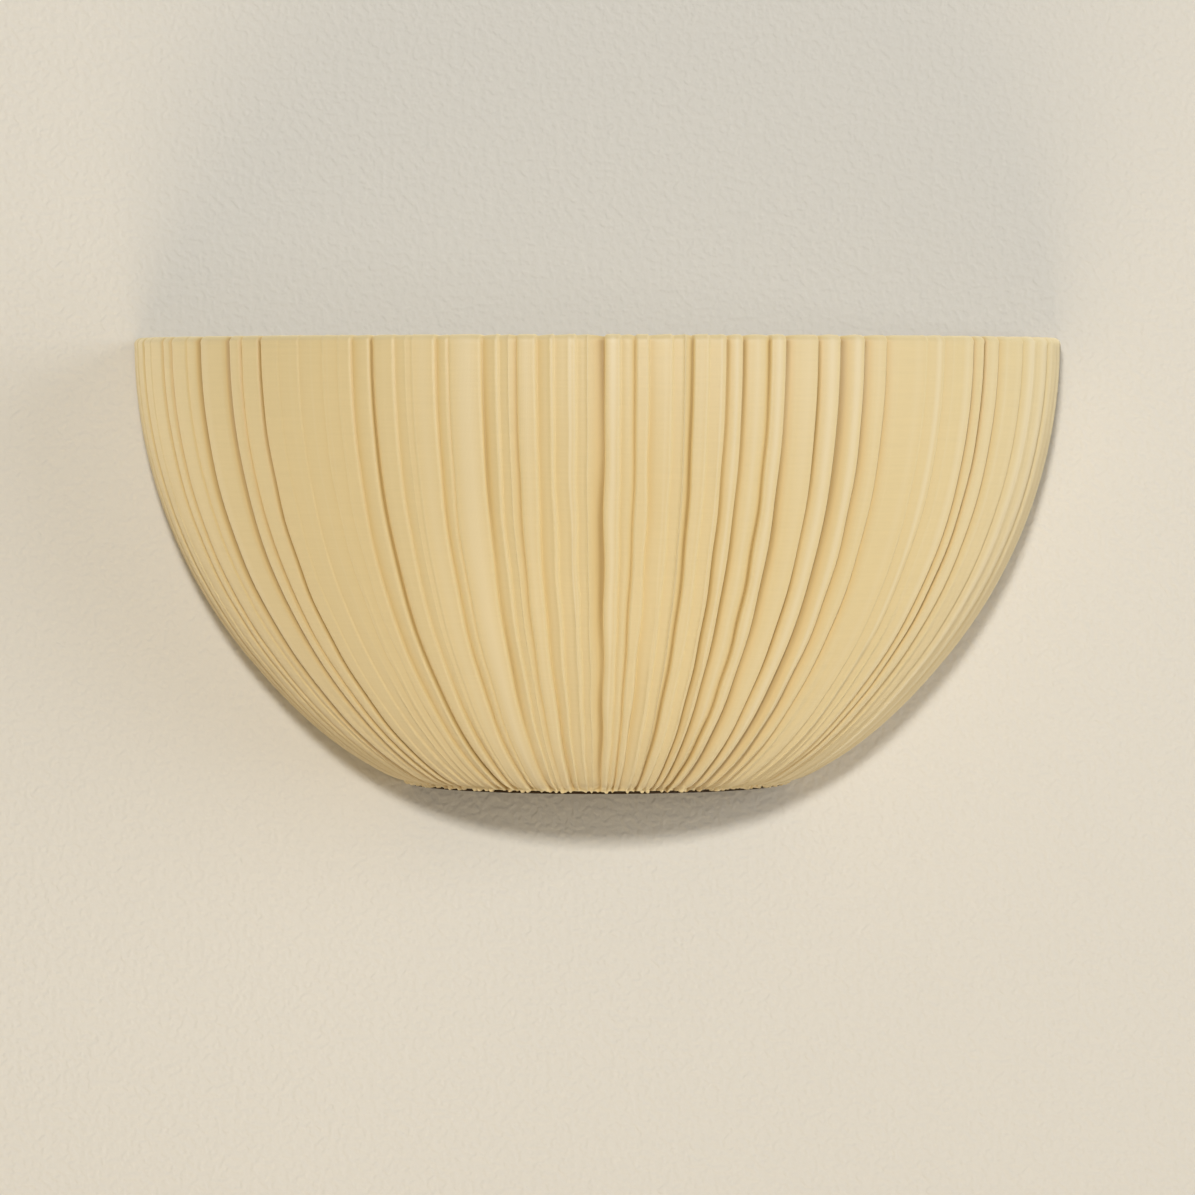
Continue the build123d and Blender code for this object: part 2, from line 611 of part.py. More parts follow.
# One sprung leaf in each pin well, standing against the well's outer end
leaf_base_z = WELL_BOTTOM_Z
leaf_top_z = HOLDER_TOP_Z - RECESS_DEPTH - 1.5
leaf_mid_z = (leaf_base_z + leaf_top_z) / 2
with BuildPart() as holder_contacts:
    for side in (-1, 1):
        wall_y = -HOLDER_DISTANCE + side * (PIN_SPACING + WELL_LENGTH) / 2
        with BuildSketch(Plane.YZ):
            with BuildLine():
                Polyline(
                    (wall_y, leaf_base_z),
                    (wall_y - side * 0.5, leaf_mid_z),
                    (wall_y, leaf_top_z),
                    (wall_y - side * 0.4, leaf_top_z),
                    (wall_y - side * 0.9, leaf_mid_z),
                    (wall_y - side * 0.4, leaf_base_z),
                    close=True,
                )
            make_face()
        extrude(amount=1.6, both=True)
save(holder_contacts, "holder_contacts")

holder_screw_parts = [
    slotted_screw(Plane(origin=(x, y, ARM_TOP_Z + FLANGE_THICKNESS)), 2.7, 1.8, 1.5, 7.6)
    for x, y in flange_places
]
with BuildPart() as holder_screws:
    add(holder_screw_parts)
save(holder_screws, "holder_screws")

with BuildPart() as holder_nuts:
    with BuildSketch(Plane.XY.offset(arm_bottom_z)):
        with Locations(flange_places):
            RegularPolygon(NUT_FLATS / 2, 6, major_radius=False)
            Circle(SCREW_RADIUS, mode=Mode.SUBTRACT)
    extrude(amount=-NUT_HEIGHT)
save(holder_nuts, "holder_nuts")

# ---- Lamp --------------------------------------------------------------------------------------
pinch_bottom_z = HOLDER_TOP_Z - RECESS_DEPTH + 0.3
with BuildPart() as lamp_base:
    with BuildSketch(Plane.XY.offset(HOLDER_TOP_Z)):
        with Locations((0, -HOLDER_DISTANCE)):
            Circle(LAMP_RADIUS)
    extrude(amount=LAMP_COLLAR_TOP_Z - HOLDER_TOP_Z)
    fillet(lamp_base.edges(), 0.8)
    with BuildSketch(Plane.XY.offset(pinch_bottom_z)):
        with Locations((0, -HOLDER_DISTANCE)):
            RectangleRounded(RECESS_WIDTH - 0.8, RECESS_LENGTH - 0.6, 1.5)
    extrude(amount=HOLDER_TOP_Z - pinch_bottom_z + 1)
save(lamp_base, "lamp_base")

with BuildPart() as lamp_pins:
    for x, y in well_places:
        with BuildLine() as loop:
            half = PIN_LOOP_WIDTH / 2
            elbow_z = pinch_bottom_z - PIN_LENGTH + half + PIN_WIRE_RADIUS
            Line((-half, y, pinch_bottom_z), (-half, y, elbow_z))
            ThreePointArc((-half, y, elbow_z), (0, y, elbow_z - half), (half, y, elbow_z))
            Line((half, y, elbow_z), (half, y, pinch_bottom_z))
        with BuildSketch(Plane(origin=(-half, y, pinch_bottom_z), z_dir=(0, 0, -1))):
            Circle(PIN_WIRE_RADIUS)
        sweep(path=loop.wire())
save(lamp_pins, "lamp_pins")

envelope_radius = LAMP_RADIUS - 0.4
dome_z = LAMP_TOP_Z - envelope_radius
with BuildPart() as lamp_envelope:
    with BuildSketch(off_wall(HOLDER_DISTANCE)):
        with BuildLine():
            outer_dome = CenterArc((0, dome_z), envelope_radius, 0, 90)
            inner_dome = CenterArc((0, dome_z), envelope_radius - LAMP_WALL, 0, 90)
            Line(outer_dome @ 1, inner_dome @ 1)
            Polyline(
                inner_dome @ 0,
                (envelope_radius - LAMP_WALL, LAMP_COLLAR_TOP_Z),
                (envelope_radius, LAMP_COLLAR_TOP_Z),
                outer_dome @ 0,
            )
        make_face()
    revolve(axis=Axis((0, -HOLDER_DISTANCE, 0), (0, 0, 1)))
save(lamp_envelope, "lamp_envelope")

with BuildPart() as led_board:
    with BuildSketch(Plane.XY.offset(LAMP_COLLAR_TOP_Z)):
        with Locations((0, -HOLDER_DISTANCE)):
            Rectangle(9, 1.2)
    extrude(amount=24)
    for facing in (-1, 1):
        with BuildSketch(off_wall(HOLDER_DISTANCE + facing * 0.6)):
            with Locations((0, LAMP_COLLAR_TOP_Z + 13)):
                with GridLocations(4, 5, 2, 4):
                    Rectangle(2.8, 2.8)
        extrude(amount=facing * 0.7)
save(led_board, "led_board")

# ---- Shade frame -------------------------------------------------------------------------------
wire_z = RIM_Z - RIM_WIRE_DROP
wire_centre = curve_radius(INSET_STRIP, RIM_WIRE_DROP) - RIM_WIRE_RADIUS - RIM_WIRE_EASE
frame_front = off_wall(WALL_GAP + STRIP_DEPTH)


def rivet_plane(side, drop):
    """On a side strip's inner face, facing into the shade."""
    out = WALL_GAP + STRIP_DEPTH / 2
    across = SHADE_WIDTH / 2 - INSET_FRAME_INSIDE
    down = SHADE_DEPTH_RADIUS - INSET_FRAME_INSIDE
    x = side * sqrt(curve_radius(INSET_FRAME_INSIDE, drop) ** 2 - out**2)
    outward = Vector(x / across**2, -out / across**2, -drop / down**2)
    return Plane(origin=(x, -out, RIM_Z - drop), z_dir=-outward)


RIVET_DROPS = [55, 95, 130]
rivet_planes = [rivet_plane(side, drop) for side in (-1, 1) for drop in RIVET_DROPS]

with BuildPart() as rivet_shank_tool:
    for plane in rivet_planes:
        with BuildSketch(plane.offset(RIVET_HEAD_HEIGHT / 2)):
            Circle(SCREW_RADIUS)
        extrude(amount=-RIVET_HEAD_HEIGHT / 2 - STRIP_THICKNESS - LINER_THICKNESS + RIVET_SUNK)
rivet_shanks = rivet_shank_tool.part

with BuildPart() as frame_rivets:
    for plane in rivet_planes:
        with BuildSketch(plane):
            Circle(RIVET_HEAD_RADIUS)
        extrude(amount=RIVET_HEAD_HEIGHT, taper=20)
    add(rivet_shanks)
save(frame_rivets, "frame_rivets")

with BuildPart() as rim_wire:
    with BuildSketch(Plane.XZ):
        with Locations((wire_centre, wire_z)):
            Circle(RIM_WIRE_RADIUS)
    revolve(axis=SHADE_AXIS, revolution_arc=180)
    split(bisect_by=off_wall(WALL_GAP), keep=Keep.TOP)
save(rim_wire, "rim_wire")

strip_band = layer(INSET_STRIP, INSET_FRAME_INSIDE, RIM_WIRE_DROP + 1, LOWER_DROP - LINER_THICKNESS)
side_strips = []
for name, keep_side in (("side_strip_left", Keep.BOTTOM), ("side_strip_right", Keep.TOP)):
    with BuildPart() as side_strip:
        add(strip_band)
        split(bisect_by=off_wall(WALL_GAP), keep=Keep.TOP)
        split(bisect_by=frame_front, keep=Keep.BOTTOM)
        split(bisect_by=Plane.YZ, keep=keep_side)
        add(rim_wire.part, mode=Mode.SUBTRACT)
        add(frame_rivets.part, mode=Mode.SUBTRACT)
    save(side_strip, name)
    side_strips.append(side_strip.part)

with BuildPart() as crossbar:
    with BuildSketch(off_wall(CROSSBAR_BACK)):
        bar_height = CROSSBAR_TOP_Z - CROSSBAR_BOTTOM_Z
        with Locations((0, (CROSSBAR_TOP_Z + CROSSBAR_BOTTOM_Z) / 2)):
            Rectangle(SHADE_WIDTH, bar_height)
        notch_height = HOOK_FLOOR_Z - CROSSBAR_BOTTOM_Z
        notch_z = HOOK_FLOOR_Z - notch_height / 2
        with Locations((-HOOK_X, notch_z), (HOOK_X, notch_z)):
            Rectangle(HOOK_WIDTH + 1, notch_height, mode=Mode.SUBTRACT)
    extrude(amount=CROSSBAR_THICKNESS)
    add(DOME_IN_FRAME, mode=Mode.INTERSECT)
tab_band = layer(
    INSET_FRAME_INSIDE,
    INSET_FRAME_INSIDE + CROSSBAR_THICKNESS,
    RIM_Z - CROSSBAR_TOP_Z,
    RIM_Z - CROSSBAR_BOTTOM_Z,
)
with BuildPart() as crossbar_tabs:
    add(tab_band)
    split(bisect_by=off_wall(CROSSBAR_BACK), keep=Keep.TOP)
    split(bisect_by=off_wall(CROSSBAR_BACK + CROSSBAR_TAB), keep=Keep.BOTTOM)
with BuildPart() as crossbar_whole:
    add(crossbar.part)
    add(crossbar_tabs.part)
save(crossbar_whole, "crossbar")

ring_screw_places = [round_front(angle, RING_SCREW_RADIUS) for angle in (-62, 0, 62)]
with BuildPart() as lower_ring:
    with BuildSketch(Plane.XY.offset(ring_z - RING_THICKNESS)):
        Circle(RING_OUTER_RADIUS)
        Circle(RING_INNER_RADIUS, mode=Mode.SUBTRACT)
        with Locations((0, -WALL_GAP - STRIP_DEPTH / 2)):
            Rectangle(2 * RING_INNER_RADIUS + 8, STRIP_DEPTH)
    extrude(amount=RING_THICKNESS)
    with BuildSketch(Plane.XY.offset(ring_z)):
        with Locations((0, -WALL_GAP - RING_THICKNESS / 2)):
            Rectangle(100, RING_THICKNESS)
    extrude(amount=8)
    split(bisect_by=off_wall(WALL_GAP), keep=Keep.TOP)
    for x, y in ring_screw_places:
        with BuildSketch(Plane.XY.offset(ring_z - RING_THICKNESS)):
            with Locations((x, y)):
                Circle(RING_SCREW_HEAD)
        with BuildSketch(Plane.XY.offset(ring_z)):
            with Locations((x, y)):
                Circle(SCREW_RADIUS)
        loft(mode=Mode.SUBTRACT)
save(lower_ring, "lower_ring")

with BuildPart() as ring_screws:
    for x, y in ring_screw_places:
        with BuildSketch(Plane.XY.offset(ring_z - RING_THICKNESS)):
            with Locations((x, y)):
                Circle(RING_SCREW_HEAD)
        with BuildSketch(Plane.XY.offset(ring_z)):
            with Locations((x, y)):
                Circle(SCREW_RADIUS)
        loft()
        with BuildSketch(Plane.XY.offset(ring_z)):
            with Locations((x, y)):
                Circle(SCREW_RADIUS)
        extrude(amount=4.2)
save(ring_screws, "ring_screws")

with BuildPart() as ring_nuts:
    with BuildSketch(Plane.XY.offset(ring_z + LINER_THICKNESS)):
        with Locations(ring_screw_places):
            RegularPolygon(NUT_FLATS / 2, 6, major_radius=False)
            Circle(SCREW_RADIUS, mode=Mode.SUBTRACT)
    extrude(amount=NUT_HEIGHT)
save(ring_nuts, "ring_nuts")

with BuildPart() as wall_bumpers:
    with BuildSketch(off_wall(0)):
        with Locations((-150, 40), (150, 40)):
            Circle(5)
    extrude(amount=CROSSBAR_BACK)
    with BuildSketch(off_wall(0)):
        with Locations((-40, ring_z + 4), (40, ring_z + 4)):
            Circle(3.5)
    extrude(amount=WALL_GAP)
save(wall_bumpers, "wall_bumpers")

# ---- Liner, cover and tape ---------------------------------------------------------------------
liner_wall = layer(INSET_LINER, INSET_STRIP, LINER_TOP_DROP, LOWER_DROP)
with BuildPart() as shade_liner:
    add(liner_wall)
    with BuildSketch(Plane.XY.offset(ring_z)):
        Circle(curve_radius(INSET_STRIP, LOWER_DROP - LINER_THICKNESS) + 0.3)
        Circle(RING_INNER_RADIUS, mode=Mode.SUBTRACT)
        with Locations(ring_screw_places):
            Circle(SCREW_RADIUS, mode=Mode.SUBTRACT)
    extrude(amount=LINER_THICKNESS)
    split(bisect_by=off_wall(WALL_GAP), keep=Keep.TOP)
    add(frame_rivets.part, mode=Mode.SUBTRACT)
save(shade_liner, "shade_liner")


def pleat_section(drop):
    """One level section of the cover: a convex panel between each two creases."""
    share_down = drop / LOWER_DROP
    crown = curve_radius(INSET_COVER, drop)
    back = curve_radius(INSET_LINER, drop) - 1.5
    depth = CREASE_DEPTH_TOP + (CREASE_DEPTH_BOTTOM - CREASE_DEPTH_TOP) * share_down**2
    angles = [-90, *CREASES, 90]
    widths = [crown * radians(b - a) for a, b in zip(angles, angles[1:])]
    narrowest = [widths[0], *[min(pair) for pair in zip(widths, widths[1:])], widths[-1]]
    radii = [crown - min(depth, 0.4 * width) for width in narrowest]
    radii[0] = radii[-1] = crown
    corners = [round_front(a, r) for a, r in zip(angles, radii)]
    crowns = [round_front((a + b) / 2, crown) for a, b in zip(angles, angles[1:])]
    with BuildSketch(Plane.XY.offset(RIM_Z - drop)) as section:
        with BuildLine():
            for start, top, end in zip(corners, crowns, corners[1:]):
                ThreePointArc(start, top, end)
            Line(corners[-1], (back, 0))
            CenterArc((0, 0), back, 0, -90)
            CenterArc((0, 0), back, -90, -90)
            Line((-back, 0), corners[0])
        make_face()
    return section.sketch


pleat_sections = [pleat_section(drop) for drop in COVER_SECTIONS]
with BuildPart() as pleated_cover:
    loft(pleat_sections)
    add(DOME_IN_LINER, mode=Mode.SUBTRACT)
    with BuildSketch(Plane.XZ):
        with Locations((wire_centre, wire_z)):
            Circle(ROLL_RADIUS)
        roll_outside = curve_radius(INSET_COVER, RIM_WIRE_DROP) - CREASE_DEPTH_TOP - 0.1
        with BuildLine():
            Polyline(
                (wire_centre, wire_z),
                (roll_outside, wire_z),
                (roll_outside, wire_z + ROLL_RADIUS),
                (wire_centre, wire_z + ROLL_RADIUS),
                close=True,
            )
        roll = make_face()
        corner = roll.vertices().sort_by(Axis.X)[-2:].sort_by(Axis.Z)[-1]
        fillet(corner, ROLL_RADIUS - 0.1)
        with Locations((wire_centre, wire_z)):
            Circle(RIM_WIRE_RADIUS, mode=Mode.SUBTRACT)
    revolve(axis=SHADE_AXIS, revolution_arc=180)
    split(bisect_by=off_wall(WALL_GAP), keep=Keep.TOP)
    add(shade_liner.part, mode=Mode.SUBTRACT)
    add(side_strips, mode=Mode.SUBTRACT)
save(pleated_cover, "pleated_cover")

with BuildPart() as rim_tape:
    add(layer(INSET_STRIP, INSET_STRIP + TAPE_THICKNESS, RIM_WIRE_DROP + 3, 18))
    split(bisect_by=frame_front, keep=Keep.TOP)
save(rim_tape, "rim_tape")
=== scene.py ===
"""Dresses the half-dome wall light: pleated cloth, finishes, the wall behind it and the lights."""

import json
import math
import random

import bpy
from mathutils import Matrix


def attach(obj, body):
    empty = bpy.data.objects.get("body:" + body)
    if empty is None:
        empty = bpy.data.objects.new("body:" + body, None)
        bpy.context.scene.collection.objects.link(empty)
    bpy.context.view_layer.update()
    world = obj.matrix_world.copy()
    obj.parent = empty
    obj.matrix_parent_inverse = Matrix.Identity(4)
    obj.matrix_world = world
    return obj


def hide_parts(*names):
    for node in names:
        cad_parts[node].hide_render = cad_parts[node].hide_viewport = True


bl_info = {
    "name": "Pleated wall light",
    "version": (1, 0, 0),
    "blender": (4, 5, 0),
    "location": "3D View > Sidebar > Wall Light",
    "description": "Dresses a half-dome wall light with hand-pleated cloth and its finishes",
    "category": "Object",
}

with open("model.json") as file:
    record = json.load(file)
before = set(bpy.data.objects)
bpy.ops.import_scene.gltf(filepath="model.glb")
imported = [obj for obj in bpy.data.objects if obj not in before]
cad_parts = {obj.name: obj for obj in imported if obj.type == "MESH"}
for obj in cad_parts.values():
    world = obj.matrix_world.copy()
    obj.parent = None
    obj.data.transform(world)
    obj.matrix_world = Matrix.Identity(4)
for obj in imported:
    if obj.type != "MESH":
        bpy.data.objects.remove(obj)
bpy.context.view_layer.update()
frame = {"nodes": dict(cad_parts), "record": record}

MM = 0.001

# ---- The shade's side, in millimetres ------------------------------------------------------------
# Its outline is a quarter of an ellipse, turned about the shade's upright axis.
RIM_Z = 75.2  # the height of the ellipse's middle
CURVE_ACROSS = 170.0  # its reach outwards
CURVE_DOWN = 177.0  # its reach down
CLOTH_INSET = 0.35  # from the outline to the cloth between its folds
SIDE_DROP = 2.6  # from the ellipse's middle down to the first line of the side
SIDE_STEPS = 44  # from its first line to its last
SIDE_CROWDING = 0.94  # under 1, the lines stand closer towards the hem
HEM_Z = -86.06  # the seat of the lower ring
HEM_ROOM = 0.9  # from that seat up to the last line of the side
BELLY = 1.5  # how much fuller the cloth hangs above the hem
BELLY_RANGE = (0.60, 0.90)  # the shares of the way down over which it fills out
HEM_DRAW = 0.7  # the share of the belly that the hem draws in again
HEM_DRAW_RANGE = (0.965, 1.0)
WALL_ROOM = 0.45  # from the cloth's turned-in ends to the wall
END_ROOM = 0.55  # from the cloth's last point to the wall, along its curve
TURNED_IN = (5.0, 3.6, 2.2, 1.0, 0.35)  # how far in the points of those ends lie

# The cloth rolls over the rim wire, then turns down round a corner of its own. The turns are
# degrees, with 90 at the top.
WIRE_RADIUS_AT = 164.28  # the rim wire's distance from the shade's upright axis
WIRE_Z = 73.5
ROLL_RADIUS = 2.6  # from the wire's middle to the cloth
ROLL_TURNS = (248, 222, 196, 170, 144, 118, 96)
CORNER_RADIUS_AT = 167.35
CORNER_Z = 73.8
CORNER_RADIUS = 2.45
CORNER_TURNS = (84, 66, 46, 26, 8)
RIM_TURNED_IN = 0.5  # the share of TURNED_IN that there is room for at the rim

# How much of its depth a fold keeps: over the roll, from top to bottom of the corner, and from top
# to bottom of the side.
ROLL_KEEP = 0.22
CORNER_KEEP = (0.34, 0.85)
SIDE_KEEP = (0.9, 1.0)

# The hem hangs over the edge of the lower ring in small scallops, and lies on the ring.
RING_EDGE = 68.4  # the ring's outer radius
RING_LAP = 66.4  # the radius to which the cloth reaches in
CREST_OVER_EDGE = 1.4  # how far past the edge a crest has to stand to hang down fully
SEAT_GAP = 0.02  # between the cloth and the ring it lies on
HEM_CURL = ((0.12, 0.55), (0.55, 0.98), (1.25, 1.0), (2.4, 0.92))  # way in, share of the drop
# Size, number in a full turn and phase of each wave in the scallops
SCALLOP_WAVES = ((0.5, 173, 0.4), (0.35, 241, 2.1), (0.4, 61, 5.2), (0.3, 29, 1.0))
SCALLOP_RANGE = (-0.1, 0.9)  # the waves' sum at which the cloth hangs least and most
SCALLOP_DROP = (0.10, 0.95)

# ---- The folds -----------------------------------------------------------------------------------
TROUGH_LIMIT = 1.65  # the deepest that a fold goes into the cloth's line, in millimetres
CREST_LIMIT = 0.6  # the highest that the cloth rises over it

# Pleats, listed one by one: degrees round from the front, depth at the rim and at the hem from 0,
# hardly there, to 1, a deep fold, or more, the side of its sharp edge, 1 where the left side is
# sharp and -1 where the right side is, how far the soft side spreads, in millimetres, and how dark
# the fold's painted shade is, from 0, a bare ridge, to 1 or more, a close dark line.
# The last column sets painted shade: how much the fold's sides and bottom darken the cloth's
# colour; below 1 it also raises a bare ridge's sharp side.
PLEATS = (
    (-83.6, 0.15, 0.25, 1, 3.0, 0.70),
    (-79.8, 0.20, 0.30, 1, 3.0, 0.70),
    (-75.4, 0.45, 0.10, 1, 3.6, 0.80),
    (-71.1, 0.10, 0.20, 1, 3.0, 0.60),
    (-66.8, 0.50, 0.12, 1, 2.6, 0.90),
    (-64.0, 0.55, 0.15, 1, 2.6, 1.00),
    (-59.4, 0.26, 0.15, 1, 3.0, 0.80),
    (-55.9, 1.40, 1.40, -1, 3.4, 1.80),
    (-49.8, 1.45, 1.05, -1, 2.4, 2.00),
    (-47.8, 0.62, 0.55, 1, 2.4, 0.90),
    (-44.4, 1.10, 0.80, 1, 1.8, 1.30),
    (-41.0, 0.08, 0.12, 1, 3.0, 0.60),
    (-37.8, 0.14, 0.20, 1, 4.0, 0.60),
    (-34.4, 0.12, 0.24, -1, 3.0, 0.60),
    (-32.2, 0.10, 0.20, -1, 3.0, 0.60),
    (-30.2, 0.50, 0.45, 1, 4.6, 0.80),
    (-27.6, 0.95, 0.90, 1, 2.2, 1.25),
    (-24.4, 0.34, 0.66, 1, 5.0, 0.60),
    (-22.4, 0.08, 0.10, -1, 2.4, 0.50),
    (-19.2, 0.62, 0.66, 1, 5.2, 0.70),
    (-17.6, 0.24, 0.20, -1, 2.0, 0.80),
    (-13.6, 0.72, 0.50, 1, 4.4, 0.80),
    (-11.5, 0.40, 0.24, 1, 4.0, 0.25),
    (-9.5, 0.50, 0.20, -1, 3.4, 1.00),
    (-7.1, 0.62, 0.90, 1, 4.6, 0.45),
    (-5.0, 0.42, 0.36, 1, 4.2, 0.25),
    (-2.4, 0.34, 0.26, 1, 3.4, 0.20),
    (0.8, 1.00, 0.75, -1, 5.6, 0.88),
    (2.8, 0.40, 0.30, 1, 3.6, 0.30),
    (4.4, 0.70, 0.60, -1, 3.0, 0.80),
    (6.1, 0.62, 0.60, 1, 4.2, 0.40),
    (8.9, 0.30, 0.20, 1, 4.0, 0.25),
    (11.2, 0.80, 0.75, -1, 2.8, 1.25),
    (13.2, 0.24, 0.24, 1, 3.4, 0.20),
    (15.3, 0.78, 0.85, 1, 2.2, 1.10),
    (17.3, 0.80, 0.80, 1, 2.4, 1.10),
    (20.6, 0.84, 0.85, -1, 2.4, 1.10),
    (22.7, 0.88, 0.90, 1, 3.2, 1.10),
    (26.9, 0.80, 0.80, 1, 2.0, 1.20),
    (29.9, 1.00, 1.00, 1, 4.4, 1.15),
    (33.3, 0.78, 0.80, 1, 3.6, 0.95),
    (36.5, 0.55, 0.55, 1, 3.0, 0.75),
    (42.9, 0.14, 0.24, 1, 3.6, 0.50),
    (45.9, 0.20, 0.26, 1, 3.6, 0.50),
    (51.5, 0.80, 0.35, 1, 2.0, 1.20),
    (54.1, 0.85, 0.35, -1, 2.0, 1.30),
    (57.0, 0.66, 0.60, 1, 3.6, 0.80),
    (63.4, 0.32, 0.15, 1, 3.0, 0.70),
    (67.9, 0.08, 0.16, 1, 3.0, 0.50),
    (72.7, 0.52, 0.40, 1, 3.2, 0.80),
    (76.2, 0.12, 0.20, 1, 3.0, 0.50),
    (78.9, 0.26, 0.26, 1, 3.0, 0.60),
    (83.3, 0.14, 0.22, 1, 3.0, 0.50),
)
GATHER_STEP = 5.5  # degrees between the small gathers that start part-way down
GATHER_DEPTH = 0.2
GATHER_REACH = 2.0  # millimetres each side
# how dark the painted shade in a gather is
GATHER_PAINTED_SHADE = 0.6
GATHER_GROWTH = 0.3  # the share of the way down over which a gather grows
HEM_DEPTH_FROM = 0.35  # the share down at which a pleat starts to take its depth at the hem
SWAY_GROWTH = 0.3  # the share down by which a pleat sways in full
PANEL_STEP = 1.9  # degrees from point to point in the cloth between two folds
FOLD_SPAN = 1.0  # degrees of it that the folds themselves take
LAST_PANEL = 4  # points in the cloth after the last pleat
PUFF_ANGLES = (-35, 12)  # the cloth between folds is fuller to the right of these
PUFF_SHARES = (0.35, 1.4)
PUFF_GAPS = (1.0, 7.0)  # millimetres between folds at which that fullness starts and is whole
FOLD_ROOM = 0.3  # millimetres left between two folds
GAP_DEPTH = 0.7  # the deepest fold, as a share of the cloth beside it
EDGE_SINK = 0.05  # how far the cloth's ends lie under its line, in millimetres
SHARP_REACH = 1.5  # millimetres from a fold's bottom to the top of its sharp side
SHARP_LIP = 0.4  # the share of that reach at which the cloth leans over the fold the most

# A fold across its sharp side, top to bottom, and up its soft side: the share of that side's reach
# and the share of the depth.
SHARP_SIDE = ((1.0, 0.05), (0.66, 0.02), (SHARP_LIP, -0.26), (0.20, -0.72))
SOFT_SIDE = ((0.10, -0.95), (0.22, -0.78), (0.40, -0.50), (0.66, -0.24), (1.0, -0.06))
GATHER_SIDE = ((1.0, 0.0), (0.38, -0.55))
BARE_LIP = (0.05, 0.30, 0.26, 0.0)  # how far a bare ridge's sharp side is raised, in millimetres

# Painted light in the cloth's colour: a painted highlight on crests and painted shade down the
# sides and in the bottoms of folds, as shares of its own colour, and where each change starts and
# is whole in the attribute that cloth_mesh writes, -1 on a full crest and 1 in a dark bottom.
FOLD_PAINTED_LIGHT = (
    ((1.05, 1.10, 1.30), -0.10, -0.75),  # painted highlight on the crest
    ((0.96, 0.89, 0.74), 0.01, 0.36),  # painted shade down the side of a fold
    ((0.67, 0.54, 0.31), 0.36, 0.95),  # painted shade in its bottom
)

# ---- The earth lead and the stage, in metres -----------------------------------------------------
EARTH_LEAD_OUT = 0.0066  # from the wall to the middle of the earth lead
STRIPE_BLUR = 0.0002  # half the width of a stripe's edge
STAGE_SIZE = 8  # of the square wall and the square floor
WALL_GAP = 0.0002  # from the back of the wall plate to the wall
WALL_MIDDLE = 1.2  # its height
FLOOR_Z = -2.8
ROOM_COLOUR = (1.0, 0.95, 0.86, 1.0)
ROOM_SEEN = (0.9, 0.88, 0.84, 1.0)  # the room as the camera and reflections see it
LENS = 201.8  # millimetres, for a frame 36 wide
FRAME_WIDTH = 36
CAMERA_PLACE = (0, -2.463, 0.0542)
CAMERA_DOWN = 1.70  # degrees


def mix(a, b, share):
    """From a at 0 to b at 1."""
    return a + (b - a) * share


def ease(value, low=0.0, high=1.0):
    """A smooth step from 0 at low to 1 at high."""
    share = min(max((value - low) / (high - low), 0.0), 1.0)
    return share * share * (3 - 2 * share)


# ---- Settings ------------------------------------------------------------------------------------
class ClothSettings(bpy.types.PropertyGroup):
    colour: bpy.props.FloatVectorProperty(
        name="Cloth colour",
        description="Colour of the pleated cloth",
        subtype="COLOR",
        size=3,
        min=0,
        max=1,
        default=(0.646, 0.524, 0.274),
    )
    fold_depth: bpy.props.FloatProperty(
        name="Fold depth",
        description="Depth of a deep fold in the cloth",
        subtype="DISTANCE",
        unit="LENGTH",
        default=2.0 * MM,
    )
    fold_overhang: bpy.props.FloatProperty(
        name="Fold overhang",
        description="How far the sharp edge of a deep fold leans over it",
        subtype="DISTANCE",
        unit="LENGTH",
        default=0.3 * MM,
    )
    thickness: bpy.props.FloatProperty(
        name="Cloth thickness",
        description="Thickness of the cloth",
        subtype="DISTANCE",
        unit="LENGTH",
        default=0.28 * MM,
    )
    thread: bpy.props.FloatProperty(
        name="Thread pitch",
        description="Distance from thread to thread in the weave",
        subtype="DISTANCE",
        unit="LENGTH",
        default=0.42 * MM,
    )
    seed: bpy.props.IntProperty(
        name="Gathers",
        description="Which arrangement the small gathers take",
        default=7,
    )


class FinishSettings(bpy.types.PropertyGroup):
    paint: bpy.props.FloatVectorProperty(
        name="Bracket paint",
        description="Colour of the wall plate, wiring cover and lamp arm",
        subtype="COLOR",
        size=3,
        min=0,
        max=1,
        default=(0.72, 0.70, 0.65),
    )
    frame_paint: bpy.props.FloatVectorProperty(
        name="Frame colour",
        description="Colour of the shade's metal frame and lower ring",
        subtype="COLOR",
        size=3,
        min=0,
        max=1,
        default=(0.045, 0.026, 0.010),
    )
    liner: bpy.props.FloatVectorProperty(
        name="Liner colour",
        description="Colour of the shade's rigid liner",
        subtype="COLOR",
        size=3,
        min=0,
        max=1,
        default=(0.84, 0.80, 0.70),
    )


class StageSettings(bpy.types.PropertyGroup):
    wall_colour: bpy.props.FloatVectorProperty(
        name="Wall colour",
        description="Colour of the painted wall",
        subtype="COLOR",
        size=3,
        min=0,
        max=1,
        default=(0.653, 0.620, 0.552),
    )
    key_power: bpy.props.FloatProperty(
        name="Key light",
        description="Power of the light from the front, a little above",
        subtype="POWER",
        unit="POWER",
        default=41.0,
    )
    side_power: bpy.props.FloatProperty(
        name="Side light",
        description="Power of the broad light from the right",
        subtype="POWER",
        unit="POWER",
        default=71.0,
    )
    fill_power: bpy.props.FloatProperty(
        name="Fill light",
        description="Power of the broad warm light from below",
        subtype="POWER",
        unit="POWER",
        default=38.0,
    )
    world_strength: bpy.props.FloatProperty(
        name="Room light",
        description="Strength of the even light from the room",
        default=0.17,
        min=0.0,
    )


# ---- Small helpers -------------------------------------------------------------------------------
def start_clean():
    """Object mode, with nothing selected."""
    if bpy.context.object and bpy.context.object.mode != "OBJECT":
        bpy.ops.object.mode_set(mode="OBJECT")
    bpy.ops.object.select_all(action="DESELECT")


def choose(piece):
    """Make one piece the only one selected."""
    start_clean()
    piece.select_set(True)
    bpy.context.view_layer.objects.active = piece


